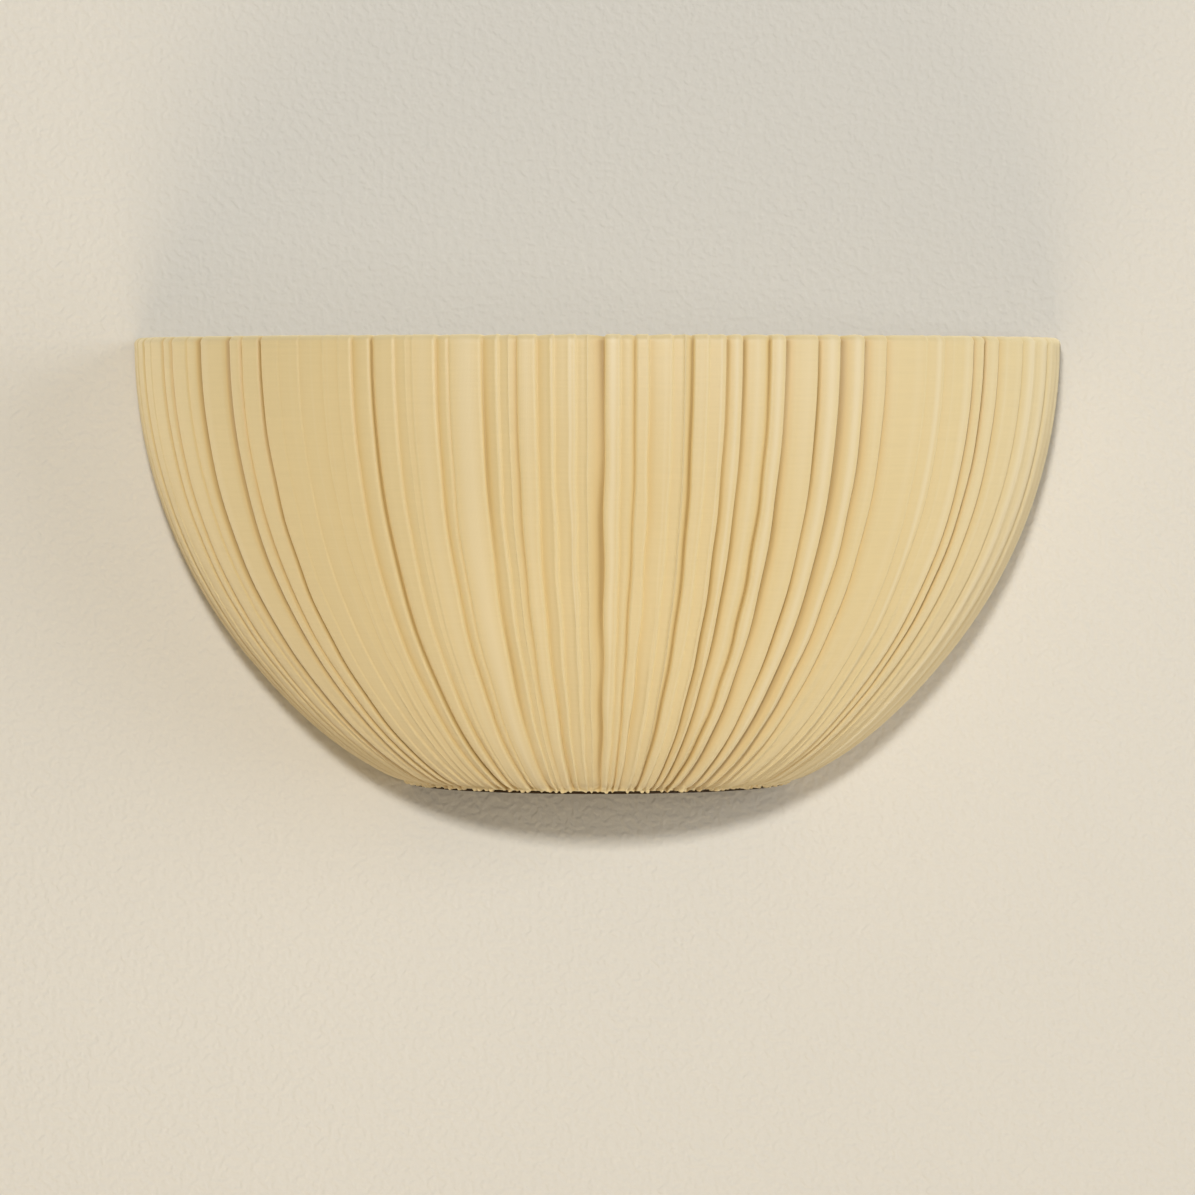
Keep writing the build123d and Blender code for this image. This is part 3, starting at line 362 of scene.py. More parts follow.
def place_in_mesh(piece):
    """Move a piece's place, turn and size into its mesh."""
    choose(piece)
    bpy.ops.object.transform_apply(location=True, rotation=True, scale=True)
    piece.select_set(False)


# ---- Material building ---------------------------------------------------------------------------
def add_node(tree, kind, **settings):
    """A shader node with its settings, and its input values by socket name."""
    node = tree.nodes.new(kind)
    values = settings.pop("values", {})
    for name, value in settings.items():
        setattr(node, name, value)
    for name, value in values.items():
        node.inputs[name].default_value = value
    return node


def new_group(name, inputs, outputs):
    """An empty shader node group with its sockets, its input node and its output node."""
    group = bpy.data.node_groups.new(name, "ShaderNodeTree")
    for socket, kind, default in inputs:
        made = group.interface.new_socket(socket, in_out="INPUT", socket_type=kind)
        if default is not None:
            made.default_value = default
    for socket, kind in outputs:
        group.interface.new_socket(socket, in_out="OUTPUT", socket_type=kind)
    return group, group.nodes.new("NodeGroupInput"), group.nodes.new("NodeGroupOutput")


def math_node(tree, operation, first, second=None):
    """A Math node; each operand is a number or a socket."""
    node = add_node(tree, "ShaderNodeMath", operation=operation)
    for index, operand in enumerate((first, second)):
        if operand is None:
            continue
        if isinstance(operand, (int, float)):
            node.inputs[index].default_value = operand
        else:
            tree.links.new(operand, node.inputs[index])
    return node.outputs[0]


def colour_mix(tree, share, first, second):
    """A colour Mix node; each operand is a colour or a socket."""
    node = add_node(tree, "ShaderNodeMix", data_type="RGBA")
    for index, operand in ((0, share), (6, first), (7, second)):
        if hasattr(operand, "links"):
            tree.links.new(operand, node.inputs[index])
        elif index == 0:
            node.inputs[index].default_value = operand
        else:
            node.inputs[index].default_value = (*operand[:3], 1.0)
    return node.outputs[2]


def build_mottle():
    """Slow patches and a fine speckle, for the colour and roughness of any finish."""
    group, source, result = new_group(
        "Mottle",
        (
            ("Vector", "NodeSocketVector", None),
            ("Patch size", "NodeSocketFloat", 0.02),
            ("Speckle size", "NodeSocketFloat", 0.0012),
            ("Speckle share", "NodeSocketFloat", 0.4),
        ),
        (("Value", "NodeSocketFloat"),),
    )
    link = group.links.new
    patch_scale = math_node(group, "DIVIDE", 1.0, source.outputs["Patch size"])
    speckle_scale = math_node(group, "DIVIDE", 1.0, source.outputs["Speckle size"])
    patches = add_node(group, "ShaderNodeTexNoise", values={"Detail": 3.0, "Roughness": 0.55})
    speckle = add_node(group, "ShaderNodeTexNoise", values={"Detail": 1.0})
    for texture, scale in ((patches, patch_scale), (speckle, speckle_scale)):
        link(source.outputs["Vector"], texture.inputs["Vector"])
        link(scale, texture.inputs["Scale"])
    blend = add_node(group, "ShaderNodeMix", data_type="FLOAT")
    link(source.outputs["Speckle share"], blend.inputs[0])
    link(patches.outputs[0], blend.inputs[2])
    link(speckle.outputs[0], blend.inputs[3])
    link(blend.outputs[0], result.inputs["Value"])


def build_weave():
    """Plain weave: warp and weft threads over and under, with thicker slubs along the weft."""
    group, source, result = new_group(
        "Plain weave",
        (
            ("Vector", "NodeSocketVector", None),
            ("Pitch", "NodeSocketFloat", 0.0004),
            ("Slub length", "NodeSocketFloat", 0.03),
            ("Slub share", "NodeSocketFloat", 0.5),
        ),
        (("Height", "NodeSocketFloat"), ("Slubs", "NodeSocketFloat")),
    )
    link = group.links.new
    parts = add_node(group, "ShaderNodeSeparateXYZ")
    link(source.outputs["Vector"], parts.inputs[0])
    turns = math_node(group, "DIVIDE", math.pi, source.outputs["Pitch"])
    across = math_node(group, "MULTIPLY", parts.outputs[0], turns)
    along = math_node(group, "MULTIPLY", parts.outputs[1], turns)
    warp = math_node(group, "ABSOLUTE", math_node(group, "SINE", across))
    weft = math_node(group, "ABSOLUTE", math_node(group, "SINE", along))
    over_warp = math_node(group, "SINE", math_node(group, "MULTIPLY", across, 0.5))
    over_weft = math_node(group, "SINE", math_node(group, "MULTIPLY", along, 0.5))
    over = math_node(group, "MULTIPLY", over_warp, over_weft)
    chooser = add_node(group, "ShaderNodeMapRange", values={"From Min": -0.15, "From Max": 0.15})
    link(over, chooser.inputs["Value"])
    threads = add_node(group, "ShaderNodeMix", data_type="FLOAT")
    link(chooser.outputs[0], threads.inputs[0])
    link(warp, threads.inputs[2])
    link(weft, threads.inputs[3])
    slub_place = add_node(group, "ShaderNodeCombineXYZ")
    slub_across = math_node(group, "DIVIDE", parts.outputs[0], source.outputs["Slub length"])
    slub_height = math_node(group, "MULTIPLY", source.outputs["Pitch"], 2.5)
    slub_along = math_node(group, "DIVIDE", parts.outputs[1], slub_height)
    link(slub_across, slub_place.inputs[0])
    link(slub_along, slub_place.inputs[1])
    slubs = add_node(group, "ShaderNodeTexNoise", values={"Scale": 1.0, "Detail": 2.0})
    link(slub_place.outputs[0], slubs.inputs["Vector"])
    height = add_node(group, "ShaderNodeMix", data_type="FLOAT")
    link(source.outputs["Slub share"], height.inputs[0])
    link(threads.outputs[0], height.inputs[2])
    link(slubs.outputs[0], height.inputs[3])
    link(height.outputs[0], result.inputs["Height"])
    link(slubs.outputs[0], result.inputs["Slubs"])


def build_rolled_paint():
    """The rounded stipple that a roller or a powder coat leaves."""
    group, source, result = new_group(
        "Stipple",
        (("Vector", "NodeSocketVector", None), ("Size", "NodeSocketFloat", 0.0023)),
        (("Height", "NodeSocketFloat"),),
    )
    link = group.links.new
    scale = math_node(group, "DIVIDE", 1.0, source.outputs["Size"])
    lumps = add_node(group, "ShaderNodeTexNoise", values={"Detail": 1.5, "Roughness": 0.4})
    link(source.outputs["Vector"], lumps.inputs["Vector"])
    link(scale, lumps.inputs["Scale"])
    rounded = add_node(
        group,
        "ShaderNodeMapRange",
        interpolation_type="SMOOTHSTEP",
        values={"From Min": 0.35, "From Max": 0.68},
    )
    link(lumps.outputs[0], rounded.inputs["Value"])
    link(rounded.outputs[0], result.inputs["Height"])


def build_drawn_lines():
    """Fine lines along one direction, as on turned or rolled metal."""
    group, source, result = new_group(
        "Drawn lines",
        (("Vector", "NodeSocketVector", None), ("Line size", "NodeSocketFloat", 0.0002)),
        (("Value", "NodeSocketFloat"),),
    )
    link = group.links.new
    scale = math_node(group, "DIVIDE", 1.0, source.outputs["Line size"])
    stretch = add_node(
        group, "ShaderNodeVectorMath", operation="MULTIPLY", values={1: (1.0, 1.0, 0.04)}
    )
    link(source.outputs["Vector"], stretch.inputs[0])
    lines = add_node(group, "ShaderNodeTexNoise", values={"Detail": 2.0})
    link(stretch.outputs[0], lines.inputs["Vector"])
    link(scale, lines.inputs["Scale"])
    link(lines.outputs[0], result.inputs["Value"])


def new_material(name, **shader_values):
    """A new material: its node tree and its Principled shader, with values of its own."""
    material = bpy.data.materials.new(name)
    material.use_nodes = True
    tree = material.node_tree
    shader = tree.nodes["Principled BSDF"]
    for socket, value in shader_values.items():
        shader.inputs[socket.replace("_", " ")].default_value = value
    return tree, shader


def place_group(tree, name, vector, **values):
    """One of the shared groups, fed from a vector socket."""
    node = add_node(tree, "ShaderNodeGroup", node_tree=bpy.data.node_groups[name])
    for socket, value in values.items():
        node.inputs[socket.replace("_", " ")].default_value = value
    tree.links.new(vector, node.inputs["Vector"])
    return node


def add_bump(tree, shader, height, distance, strength):
    """Feed a height into the shader's normal."""
    bump = add_node(tree, "ShaderNodeBump", values={"Strength": strength, "Distance": distance})
    tree.links.new(height, bump.inputs["Height"])
    tree.links.new(bump.outputs[0], shader.inputs["Normal"])


def add_range(tree, value, low, high):
    """Spread a 0 to 1 value over a range."""
    node = add_node(tree, "ShaderNodeMapRange", values={"To Min": low, "To Max": high})
    tree.links.new(value, node.inputs["Value"])
    return node.outputs[0]


def tinted(colour, factor):
    """A colour made lighter or darker."""
    return tuple(min(channel * factor, 1.0) for channel in colour[:3])


def plain_finish(name, colour, roughness, patch, speckle, contrast, **shader_values):
    """A finish whose colour and roughness vary a little, with a fine grain in relief."""
    tree, shader = new_material(name, **shader_values)
    place = add_node(tree, "ShaderNodeTexCoord").outputs["Object"]
    mottle = place_group(tree, "Mottle", place, Patch_size=patch, Speckle_size=speckle)
    share = add_range(tree, mottle.outputs["Value"], -0.4, 1.4)
    worn = colour_mix(tree, share, tinted(colour, 1 - contrast), tinted(colour, 1 + contrast))
    tree.links.new(worn, shader.inputs["Base Color"])
    rough = add_range(tree, mottle.outputs["Value"], roughness - 0.08, roughness + 0.08)
    tree.links.new(rough, shader.inputs["Roughness"])
    add_bump(tree, shader, mottle.outputs["Value"], speckle * 0.2, 0.5)


def metal_finish(name, colour, roughness, line_size=0.0002):
    """Bare or plated metal with fine drawn lines."""
    tree, shader = new_material(name, Metallic=1.0)
    place = add_node(tree, "ShaderNodeTexCoord").outputs["Object"]
    lines = place_group(tree, "Drawn lines", place, Line_size=line_size)
    mottle = place_group(tree, "Mottle", place, Patch_size=0.006, Speckle_size=0.0006)
    colour_share = add_range(tree, mottle.outputs["Value"], -0.2, 1.2)
    tone = colour_mix(tree, colour_share, tinted(colour, 0.86), tinted(colour, 1.08))
    tree.links.new(tone, shader.inputs["Base Color"])
    rough = add_range(tree, lines.outputs["Value"], roughness - 0.1, roughness + 0.12)
    tree.links.new(rough, shader.inputs["Roughness"])
    add_bump(tree, shader, lines.outputs["Value"], line_size * 0.15, 0.4)


def painted_finish(name, colour, roughness, stipple, **shader_values):
    """Powder coat or paint: a slight stipple under a satin surface."""
    tree, shader = new_material(name, **shader_values)
    place = add_node(tree, "ShaderNodeTexCoord").outputs["Object"]
    coat = place_group(tree, "Stipple", place, Size=stipple)
    mottle = place_group(tree, "Mottle", place, Patch_size=0.03, Speckle_size=stipple)
    share = add_range(tree, mottle.outputs["Value"], -0.3, 1.3)
    tone = colour_mix(tree, share, tinted(colour, 0.94), tinted(colour, 1.05))
    tree.links.new(tone, shader.inputs["Base Color"])
    rough = add_range(tree, mottle.outputs["Value"], roughness - 0.06, roughness + 0.1)
    tree.links.new(rough, shader.inputs["Roughness"])
    add_bump(tree, shader, coat.outputs["Height"], stipple * 0.06, 0.6)


def woven_finish(name, colour, pitch, vector_socket, relief, slub_share, **shader_values):
    """Plain-woven cloth or tape: threads in relief, paler slubs, painted shade in folds and a
    painted highlight on crests.
    """
    tree, shader = new_material(name, **shader_values)
    place = add_node(tree, "ShaderNodeTexCoord").outputs[vector_socket]
    weave = place_group(tree, "Plain weave", place, Pitch=pitch, Slub_share=slub_share)
    mottle = place_group(tree, "Mottle", place, Patch_size=0.06, Speckle_size=0.004)
    patch_share = add_range(tree, mottle.outputs["Value"], -0.3, 1.3)
    base = colour_mix(tree, patch_share, tinted(colour, 0.965), tinted(colour, 1.035))
    slub_value = add_range(tree, weave.outputs["Slubs"], -0.3, 1.3)
    slubbed = colour_mix(tree, slub_value, tinted(colour, 0.95), tinted(colour, 1.05))
    both = add_node(tree, "ShaderNodeMix", data_type="RGBA", values={0: 0.5})
    tree.links.new(base, both.inputs[6])
    tree.links.new(slubbed, both.inputs[7])
    tone = both.outputs[2]
    # Painted light from the fold attribute: a painted highlight on crests and painted shade in
    # folds.
    fold = add_node(tree, "ShaderNodeAttribute", attribute_name="fold").outputs["Fac"]
    for painted_light_factor, low, high in FOLD_PAINTED_LIGHT:
        share = add_node(tree, "ShaderNodeMapRange", values={"From Min": low, "From Max": high})
        tree.links.new(fold, share.inputs["Value"])
        painted_light_colour = tuple(channel * part for channel, part in zip(colour, painted_light_factor))
        tone = colour_mix(tree, share.outputs[0], tone, painted_light_colour)
    tree.links.new(tone, shader.inputs["Base Color"])
    add_bump(tree, shader, weave.outputs["Height"], relief, 0.7)


def striped_insulation(name, green, yellow):
    """Earth insulation: two yellow stripes along green."""
    tree, shader = new_material(name)
    place = add_node(tree, "ShaderNodeTexCoord").outputs["Object"]
    mottle = place_group(tree, "Mottle", place, Patch_size=0.01, Speckle_size=0.001)
    parts = add_node(tree, "ShaderNodeSeparateXYZ")
    tree.links.new(place, parts.inputs[0])
    side = math_node(tree, "ADD", parts.outputs[1], EARTH_LEAD_OUT)
    stripe = add_node(
        tree, "ShaderNodeMapRange", values={"From Min": -STRIPE_BLUR, "From Max": STRIPE_BLUR}
    )
    tree.links.new(side, stripe.inputs["Value"])
    both = colour_mix(tree, stripe.outputs[0], green, yellow)
    tree.links.new(both, shader.inputs["Base Color"])
    rough = add_range(tree, mottle.outputs["Value"], 0.32, 0.5)
    tree.links.new(rough, shader.inputs["Roughness"])


# ---- The cloth -----------------------------------------------------------------------------------
def cloth_pleats(seed):
    """The listed pleats, and small gathers between them that start part-way down."""
    dice = random.Random(seed)
    pleats = [
        {"angle": angle, "top": top, "hem": hem, "sharp": sharp, "spread": spread, "tone": tone}
        for angle, top, hem, sharp, spread, tone in PLEATS
    ]
    gathers = []
    for left, right in zip(pleats, pleats[1:]):
        gap = right["angle"] - left["angle"]
        count = int(gap / GATHER_STEP)
        for number in range(count):
            share = (number + 1) / (count + 1) + dice.uniform(-0.12, 0.12) / (count + 1)
            gathers.append(
                {
                    "angle": left["angle"] + gap * share,
                    "top": 0.0,
                    "hem": GATHER_DEPTH * dice.uniform(0.5, 1.3),
                    "start": dice.uniform(0.30, 0.70),
                    "tone": GATHER_PAINTED_SHADE,
                }
            )
    every = sorted(pleats + gathers, key=lambda pleat: pleat["angle"])
    for pleat in every:
        fuller = mix(*PUFF_SHARES, ease(pleat["angle"], *PUFF_ANGLES))
        pleat["sway"] = dice.uniform(0.03, 0.12)
        pleat["turns"] = dice.uniform(1.2, 2.6)
        pleat["ripple"] = dice.uniform(0.03, 0.11)
        pleat["ripples"] = dice.uniform(3.5, 7.0)
        pleat["phase"] = dice.uniform(0, 2 * math.pi)
        pleat["swell"] = dice.uniform(0.06, 0.2)
        pleat["puff"] = dice.uniform(0.1, 0.5) * fuller
    return every


def pleat_depth(pleat, down):
    """How deep a pleat is at a share of the way down, as a share of a deep fold."""
    if "start" in pleat:
        depth = pleat["hem"] * ease(down, pleat["start"], pleat["start"] + GATHER_GROWTH)
    else:
        depth = mix(pleat["top"], pleat["hem"], ease(down, HEM_DEPTH_FROM, 1.0))
    wave = math.sin(pleat["turns"] * 2 * math.pi * down + pleat["phase"])
    return max(depth * (1 + pleat["swell"] * wave), 0.0)


def pleat_angle(pleat, down):
    """Where a pleat runs: down the shade's side, swaying and rippling a little."""
    sway = pleat["sway"] * math.sin(pleat["turns"] * math.pi * down + pleat["phase"])
    ripple = pleat["ripple"] * math.sin(pleat["ripples"] * 2 * math.pi * down + pleat["phase"])
    return pleat["angle"] + (sway + ripple) * ease(down, 0.0, SWAY_GROWTH)


def round_row(radius_at, height_at, size, degrees, keep):
    """One line of the cloth where it turns round a centre at the rim."""
    turn = math.radians(degrees)
    out, up = math.cos(turn), math.sin(turn)
    return radius_at + size * out, height_at + size * up, out, up, 0.0, keep


def cloth_rows():
    """The cloth's level lines, from inside the rim down to the hem.

    Each has its radius, height, outward direction, share of the way down and share of the folds'
    depth that it keeps.
    """
    rows = []
    for degrees in ROLL_TURNS:
        rows.append(round_row(WIRE_RADIUS_AT, WIRE_Z, ROLL_RADIUS, degrees, ROLL_KEEP))
    start, end = CORNER_TURNS[0], CORNER_TURNS[-1]
    for degrees in CORNER_TURNS:
        keep = mix(*CORNER_KEEP, (start - degrees) / (start - end))
        rows.append(round_row(CORNER_RADIUS_AT, CORNER_Z, CORNER_RADIUS, degrees, keep))
    across, down_size = CURVE_ACROSS - CLOTH_INSET, CURVE_DOWN - CLOTH_INSET
    first = math.asin(SIDE_DROP / down_size)
    last = math.asin((RIM_Z - HEM_Z - HEM_ROOM) / down_size)
    for step in range(SIDE_STEPS + 1):
        share = step / SIDE_STEPS
        turn = mix(first, last, share**SIDE_CROWDING)
        out, up = math.cos(turn) / across, -math.sin(turn) / down_size
        size = math.hypot(out, up)
        out, up = out / size, up / size
        drawn_in = 1 - HEM_DRAW * ease(share, *HEM_DRAW_RANGE)
        fuller = BELLY * ease(share, *BELLY_RANGE) * drawn_in
        radius = across * math.cos(turn) + fuller * out
        height = RIM_Z - down_size * math.sin(turn) + fuller * up
        rows.append((radius, height, out, up, share, mix(*SIDE_KEEP, share)))
    return rows


def fold_reach(pleat, side):
    """How far a fold spreads to its left, -1, or its right, 1, in millimetres."""
    if "start" in pleat:
        return GATHER_REACH
    return SHARP_REACH if pleat["sharp"] == -side else pleat["spread"]


def fold_side(pleat, side, reach, depth, overhang):
    """One side of a fold, from its top to its bottom: distance from the bottom, and height."""
    if "start" in pleat:
        return [(side * far * reach, high * depth) for far, high in GATHER_SIDE]
    if pleat["sharp"] == -side:
        bare = max(1 - pleat["tone"], 0.0)
        return [
            (
                side * (far * reach - overhang * (1 - abs(far - SHARP_LIP) / (1 - SHARP_LIP))),
                min(high * depth + lip * bare, CREST_LIMIT),
            )
            for (far, high), lip in zip(SHARP_SIDE, BARE_LIP)
        ]
    return [(side * far * reach, high * depth) for far, high in reversed(SOFT_SIDE)]


def panel_points(start, end, count, puff):
    """The cloth between two folds, a little full."""
    points = []
    for step in range(1, count + 1):
        share = step / (count + 1)
        rise = mix(start[1], end[1], ease(share)) + puff * math.sin(math.pi * share)
        rise = min(rise, CREST_LIMIT)
        # The third value is a painted highlight where the cloth rises over its line.
        points.append((mix(start[0], end[0], share), rise, min(-rise / CREST_LIMIT, 0.0)))
    return points


def cloth_line(pleats, row, settings):
    """One level line of the cloth, from the left end to the right: angle, height and painted light,
    painted shade above 0 and painted highlight below.
    """
    radius, _, _, _, down, keep = row
    per_degree = radius * math.radians(1)
    end = 90 - math.degrees(END_ROOM / radius)
    places = [pleat_angle(pleat, down) for pleat in pleats]
    bounds = [-end, *places, end]
    gaps = [(b - a) * per_degree for a, b in zip(bounds, bounds[1:])]
    reaches = [
        fold_reach(left, 1) + fold_reach(right, -1) + FOLD_ROOM
        for left, right in zip(pleats, pleats[1:])
    ]
    room = [1.0, *(min(1.0, gap / reach) for gap, reach in zip(gaps[1:-1], reaches)), 1.0]
    line = []
    start = (-end, -EDGE_SINK, 0.0)
    for index, pleat in enumerate(pleats):
        share = pleat_depth(pleat, down)
        deepest = GAP_DEPTH * min(gaps[index : index + 2])
        depth = min(settings.fold_depth / MM * share, deepest) * keep
        overhang = settings.fold_overhang / MM * share * keep * min(room[index : index + 2])
        sides = []
        for side, scale in ((-1, room[index]), (1, room[index + 1])):
            reach = fold_reach(pleat, side) * scale
            sides.append(fold_side(pleat, side, reach, depth, overhang))
        # The third value of each point is painted light: painted shade in the fold, as deep as it
        # goes times the pleat's tone, and a painted highlight where the cloth rises over its line.
        tone = pleat["tone"] / TROUGH_LIMIT
        fold = []
        for across, rise in (*sides[0], (0.0, -depth), *reversed(sides[1])):
            dark = -rise * (tone if rise < 0 else 1 / CREST_LIMIT)
            fold.append((places[index] + across / per_degree, rise, dark))
        fullness = pleat["puff"] * keep * ease(gaps[index], *PUFF_GAPS)
        line.append(start)
        line.extend(panel_points(start, fold[0], pleat["panel"], fullness))
        line.extend(fold[:-1])
        start = fold[-1]
    line.append(start)
    line.extend(panel_points(start, (end, -EDGE_SINK), LAST_PANEL, 0.0))
    line.append((end, -EDGE_SINK, 0.0))
    return line


def turned_in_ends(row):
    """The points at both ends of a level line, where the cloth turns in along the wall."""
    radius, height, out, up, _, keep = row
    room = 1.0 if keep >= SIDE_KEEP[0] else RIM_TURNED_IN
    places = [(radius - inset * room * out, height - inset * room * up) for inset in TURNED_IN]
    left = [(-r, -WALL_ROOM, z) for r, z in places]
    right = [(r, -WALL_ROOM, z) for r, z in reversed(places)]
    return left, right


def make_cloth(settings):
    """The cloth's points and the painted light of its folds, from its turned edge inside the rim to
    its turned hem.
    """
    pleats = cloth_pleats(settings.seed)
    previous = -90.0
    for pleat in pleats:
        pleat["panel"] = round((pleat["angle"] - previous - FOLD_SPAN) / PANEL_STEP)
        previous = pleat["angle"]
    grid = []
    folds = []
    plain = [0.0] * len(TURNED_IN)
    for row in cloth_rows():
        radius, height, out, up, _, _ = row
        line = cloth_line(pleats, row, settings)
        points = []
        for degrees, rise, _ in line:
            rise = max(rise, -TROUGH_LIMIT)
            r, z = radius + rise * out, height + rise * up
            turn = math.radians(degrees)
            points.append((r * math.sin(turn), -r * math.cos(turn), z))
        left, right = turned_in_ends(row)
        grid.append(left + points + right)
        # The painted light of each point: painted shade in folds, painted highlight on crests.
        painted_light_shares = [min(max(dark, -1.0), 1.0) for _, _, dark in line]
        folds.append(plain + painted_light_shares + plain)
    hem = hem_rows(grid[-1])
    grid.extend(hem)
    folds.extend([folds[-1]] * len(hem))
    return grid, folds


def scallop(degrees):
    """How far the hem hangs below the ring's seat, in millimetres: small scallops and bare gaps."""
    wave = sum(
        size * math.sin(count * math.radians(degrees) + phase)
        for size, count, phase in SCALLOP_WAVES
    )
    return mix(*SCALLOP_DROP, ease(wave, *SCALLOP_RANGE))


def hem_rows(last):
    """The hem: crests hang over the ring's edge, and the cloth turns in to lie on the ring."""
    rows = [[] for _ in HEM_CURL]
    for x, y, z in last:
        radius = math.hypot(x, y)
        crest = ease(radius, RING_EDGE, RING_EDGE + CREST_OVER_EDGE)
        low = HEM_Z - scallop(math.degrees(math.atan2(x, -y))) * crest
        for row, (inward, share) in zip(rows, HEM_CURL):
            new_radius = max(radius - inward, RING_LAP)
            scale = new_radius / radius
            new_z = mix(z, low, share)
            if new_radius < RING_EDGE:
                new_z = max(new_z, HEM_Z + SEAT_GAP)
            row.append((x * scale, min(y * scale, -WALL_ROOM), new_z))
    return rows


def cloth_mesh(name, grid, folds):
    """A sheet mesh over a grid of points, facing outwards, with its flat lie as UVs in metres.

    Its attribute holds painted light: painted shade as a point lies deeper in a fold, from 0 to 1,
    and a painted highlight where the cloth rises full, down to -1.
    """
    width = len(grid[0])
    vertices = [(x * MM, y * MM, z * MM) for row in grid for x, y, z in row]
    faces = [
        (j * width + i, (j + 1) * width + i, (j + 1) * width + i + 1, j * width + i + 1)
        for j in range(len(grid) - 1)
        for i in range(width - 1)
    ]
    mesh = bpy.data.meshes.new(name)
    mesh.from_pydata(vertices, [], faces)
    middle = grid[len(grid) // 2]
    across = [0.0]
    for a, b in zip(middle, middle[1:]):
        across.append(across[-1] + math.dist(a, b) * MM)
    front = width // 2
    along = [0.0]
    for upper, lower in zip(grid, grid[1:]):
        along.append(along[-1] + math.dist(upper[front], lower[front]) * MM)
    lie = mesh.uv_layers.new(name="cloth")
    for loop in mesh.loops:
        row, column = divmod(loop.vertex_index, width)
        lie.data[loop.index].uv = (across[column], -along[row])
    # The painted light that the cloth's material reads.
    fold = mesh.attributes.new("fold", "FLOAT", "POINT")
    fold.data.foreach_set("value", [share for row in folds for share in row])
    mesh.update()
    return mesh


def finish_all(piece, name):
    """Give a piece or CAD node one material all over."""
    if not piece.data.materials:
        piece.data.materials.append(None)
    for index in range(len(piece.data.materials)):
        piece.data.materials[index] = bpy.data.materials[name]


# ---- Operators -----------------------------------------------------------------------------------
class LIGHT_OT_finishes(bpy.types.Operator):
    """Build every finish of the light and put it on the modelled parts"""

    bl_idname = "wall_light.finishes"
    bl_label = "Finishes"

    def execute(self, context):
        settings = context.scene.light_finish
        cloth = context.scene.light_cloth
        for build in (build_mottle, build_weave, build_rolled_paint, build_drawn_lines):
            build()
        painted_finish("Bracket paint", settings.paint, 0.45, 0.0011)
        painted_finish(
            "Frame bronze", settings.frame_paint, 0.5, 0.0008, Specular_IOR_Level=0.15
        )
        plain_finish("Liner", settings.liner, 0.5, 0.05, 0.0015, 0.04)
        plain_finish("Black rubber", (0.022, 0.021, 0.02), 0.72, 0.008, 0.0007, 0.25)
        plain_finish("Nylon", (0.72, 0.69, 0.6), 0.48, 0.012, 0.0006, 0.05)
        plain_finish("Ceramic", (0.80, 0.77, 0.70), 0.55, 0.01, 0.0007, 0.05)
        plain_finish("Brown insulation", (0.10, 0.035, 0.014), 0.4, 0.01, 0.0008, 0.1)
        plain_finish("Blue insulation", (0.015, 0.06, 0.30), 0.4, 0.01, 0.0008, 0.1)
        plain_finish("Lamp board", (0.78, 0.75, 0.62), 0.5, 0.004, 0.0006, 0.12)
        plain_finish("Opal glass", (0.86, 0.84, 0.79), 0.22, 0.02, 0.002, 0.02, Coat_Weight=0.6)
        metal_finish("Zinc plate", (0.62, 0.62, 0.60), 0.32)
        metal_finish("Brass", (0.72, 0.52, 0.22), 0.3)
        metal_finish("Tinned copper", (0.66, 0.63, 0.58), 0.34)
        metal_finish("Nickel", (0.60, 0.57, 0.52), 0.22)
        striped_insulation("Earth insulation", (0.05, 0.26, 0.03), (0.72, 0.55, 0.03))
        woven_finish(
            "Pleated cloth",
            cloth.colour,
            cloth.thread,
            "UV",
            0.0001,
            0.55,
            Roughness=0.52,
            Diffuse_Roughness=1.0,
            Specular_IOR_Level=1.0,
            Sheen_Weight=0.3,
            Sheen_Tint=(1.0, 0.86, 0.6, 1.0),
        )
        woven_finish(
            "Cotton tape", (0.70, 0.62, 0.44), 0.0009, "Object", 0.00025, 0.2, Roughness=0.86
        )
        finish_of_slot = {
            "plate_paint": "Bracket paint",
            "grommet_rubber": "Black rubber",
            "terminal_plastic": "Nylon",
            "terminal_brass": "Brass",
            "zinc_screws": "Zinc plate",
            "tinned_copper": "Tinned copper",
            "earth_insulation": "Earth insulation",
            "live_insulation": "Brown insulation",
            "neutral_insulation": "Blue insulation",
            "holder_ceramic": "Ceramic",
            "contact_nickel": "Nickel",
            "lamp_glass": "Opal glass",
            "lamp_board": "Lamp board",
            "liner_opal": "Liner",
            "shade_fabric": "Pleated cloth",
            "cotton_tape": "Cotton tape",
            "frame_bronze": "Frame bronze",
        }
        for subpart in frame["record"]["subparts"]:
            node = frame["nodes"][subpart["node"]]
            finish_all(node, finish_of_slot[subpart["material_slot"]])
        return {"FINISHED"}


class LIGHT_OT_cloth(bpy.types.Operator):
    """Lay the pleated cloth over the shade"""

    bl_idname = "wall_light.cloth"
    bl_label = "Pleated cloth"

    def execute(self, context):
        settings = context.scene.light_cloth
        mesh = cloth_mesh("shade_cloth", *make_cloth(settings))
        cloth = bpy.data.objects.new("shade_cloth", mesh)
        context.scene.collection.objects.link(cloth)
        choose(cloth)
        wall = cloth.modifiers.new("thickness", "SOLIDIFY")
        wall.thickness = settings.thickness
        wall.offset = -1
        bpy.ops.object.modifier_apply(modifier="thickness")
        bpy.ops.object.shade_smooth()
        cloth.select_set(False)
        finish_all(cloth, "Pleated cloth")
        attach(cloth, "shade")
        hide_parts("pleated_cover")
        return {"FINISHED"}


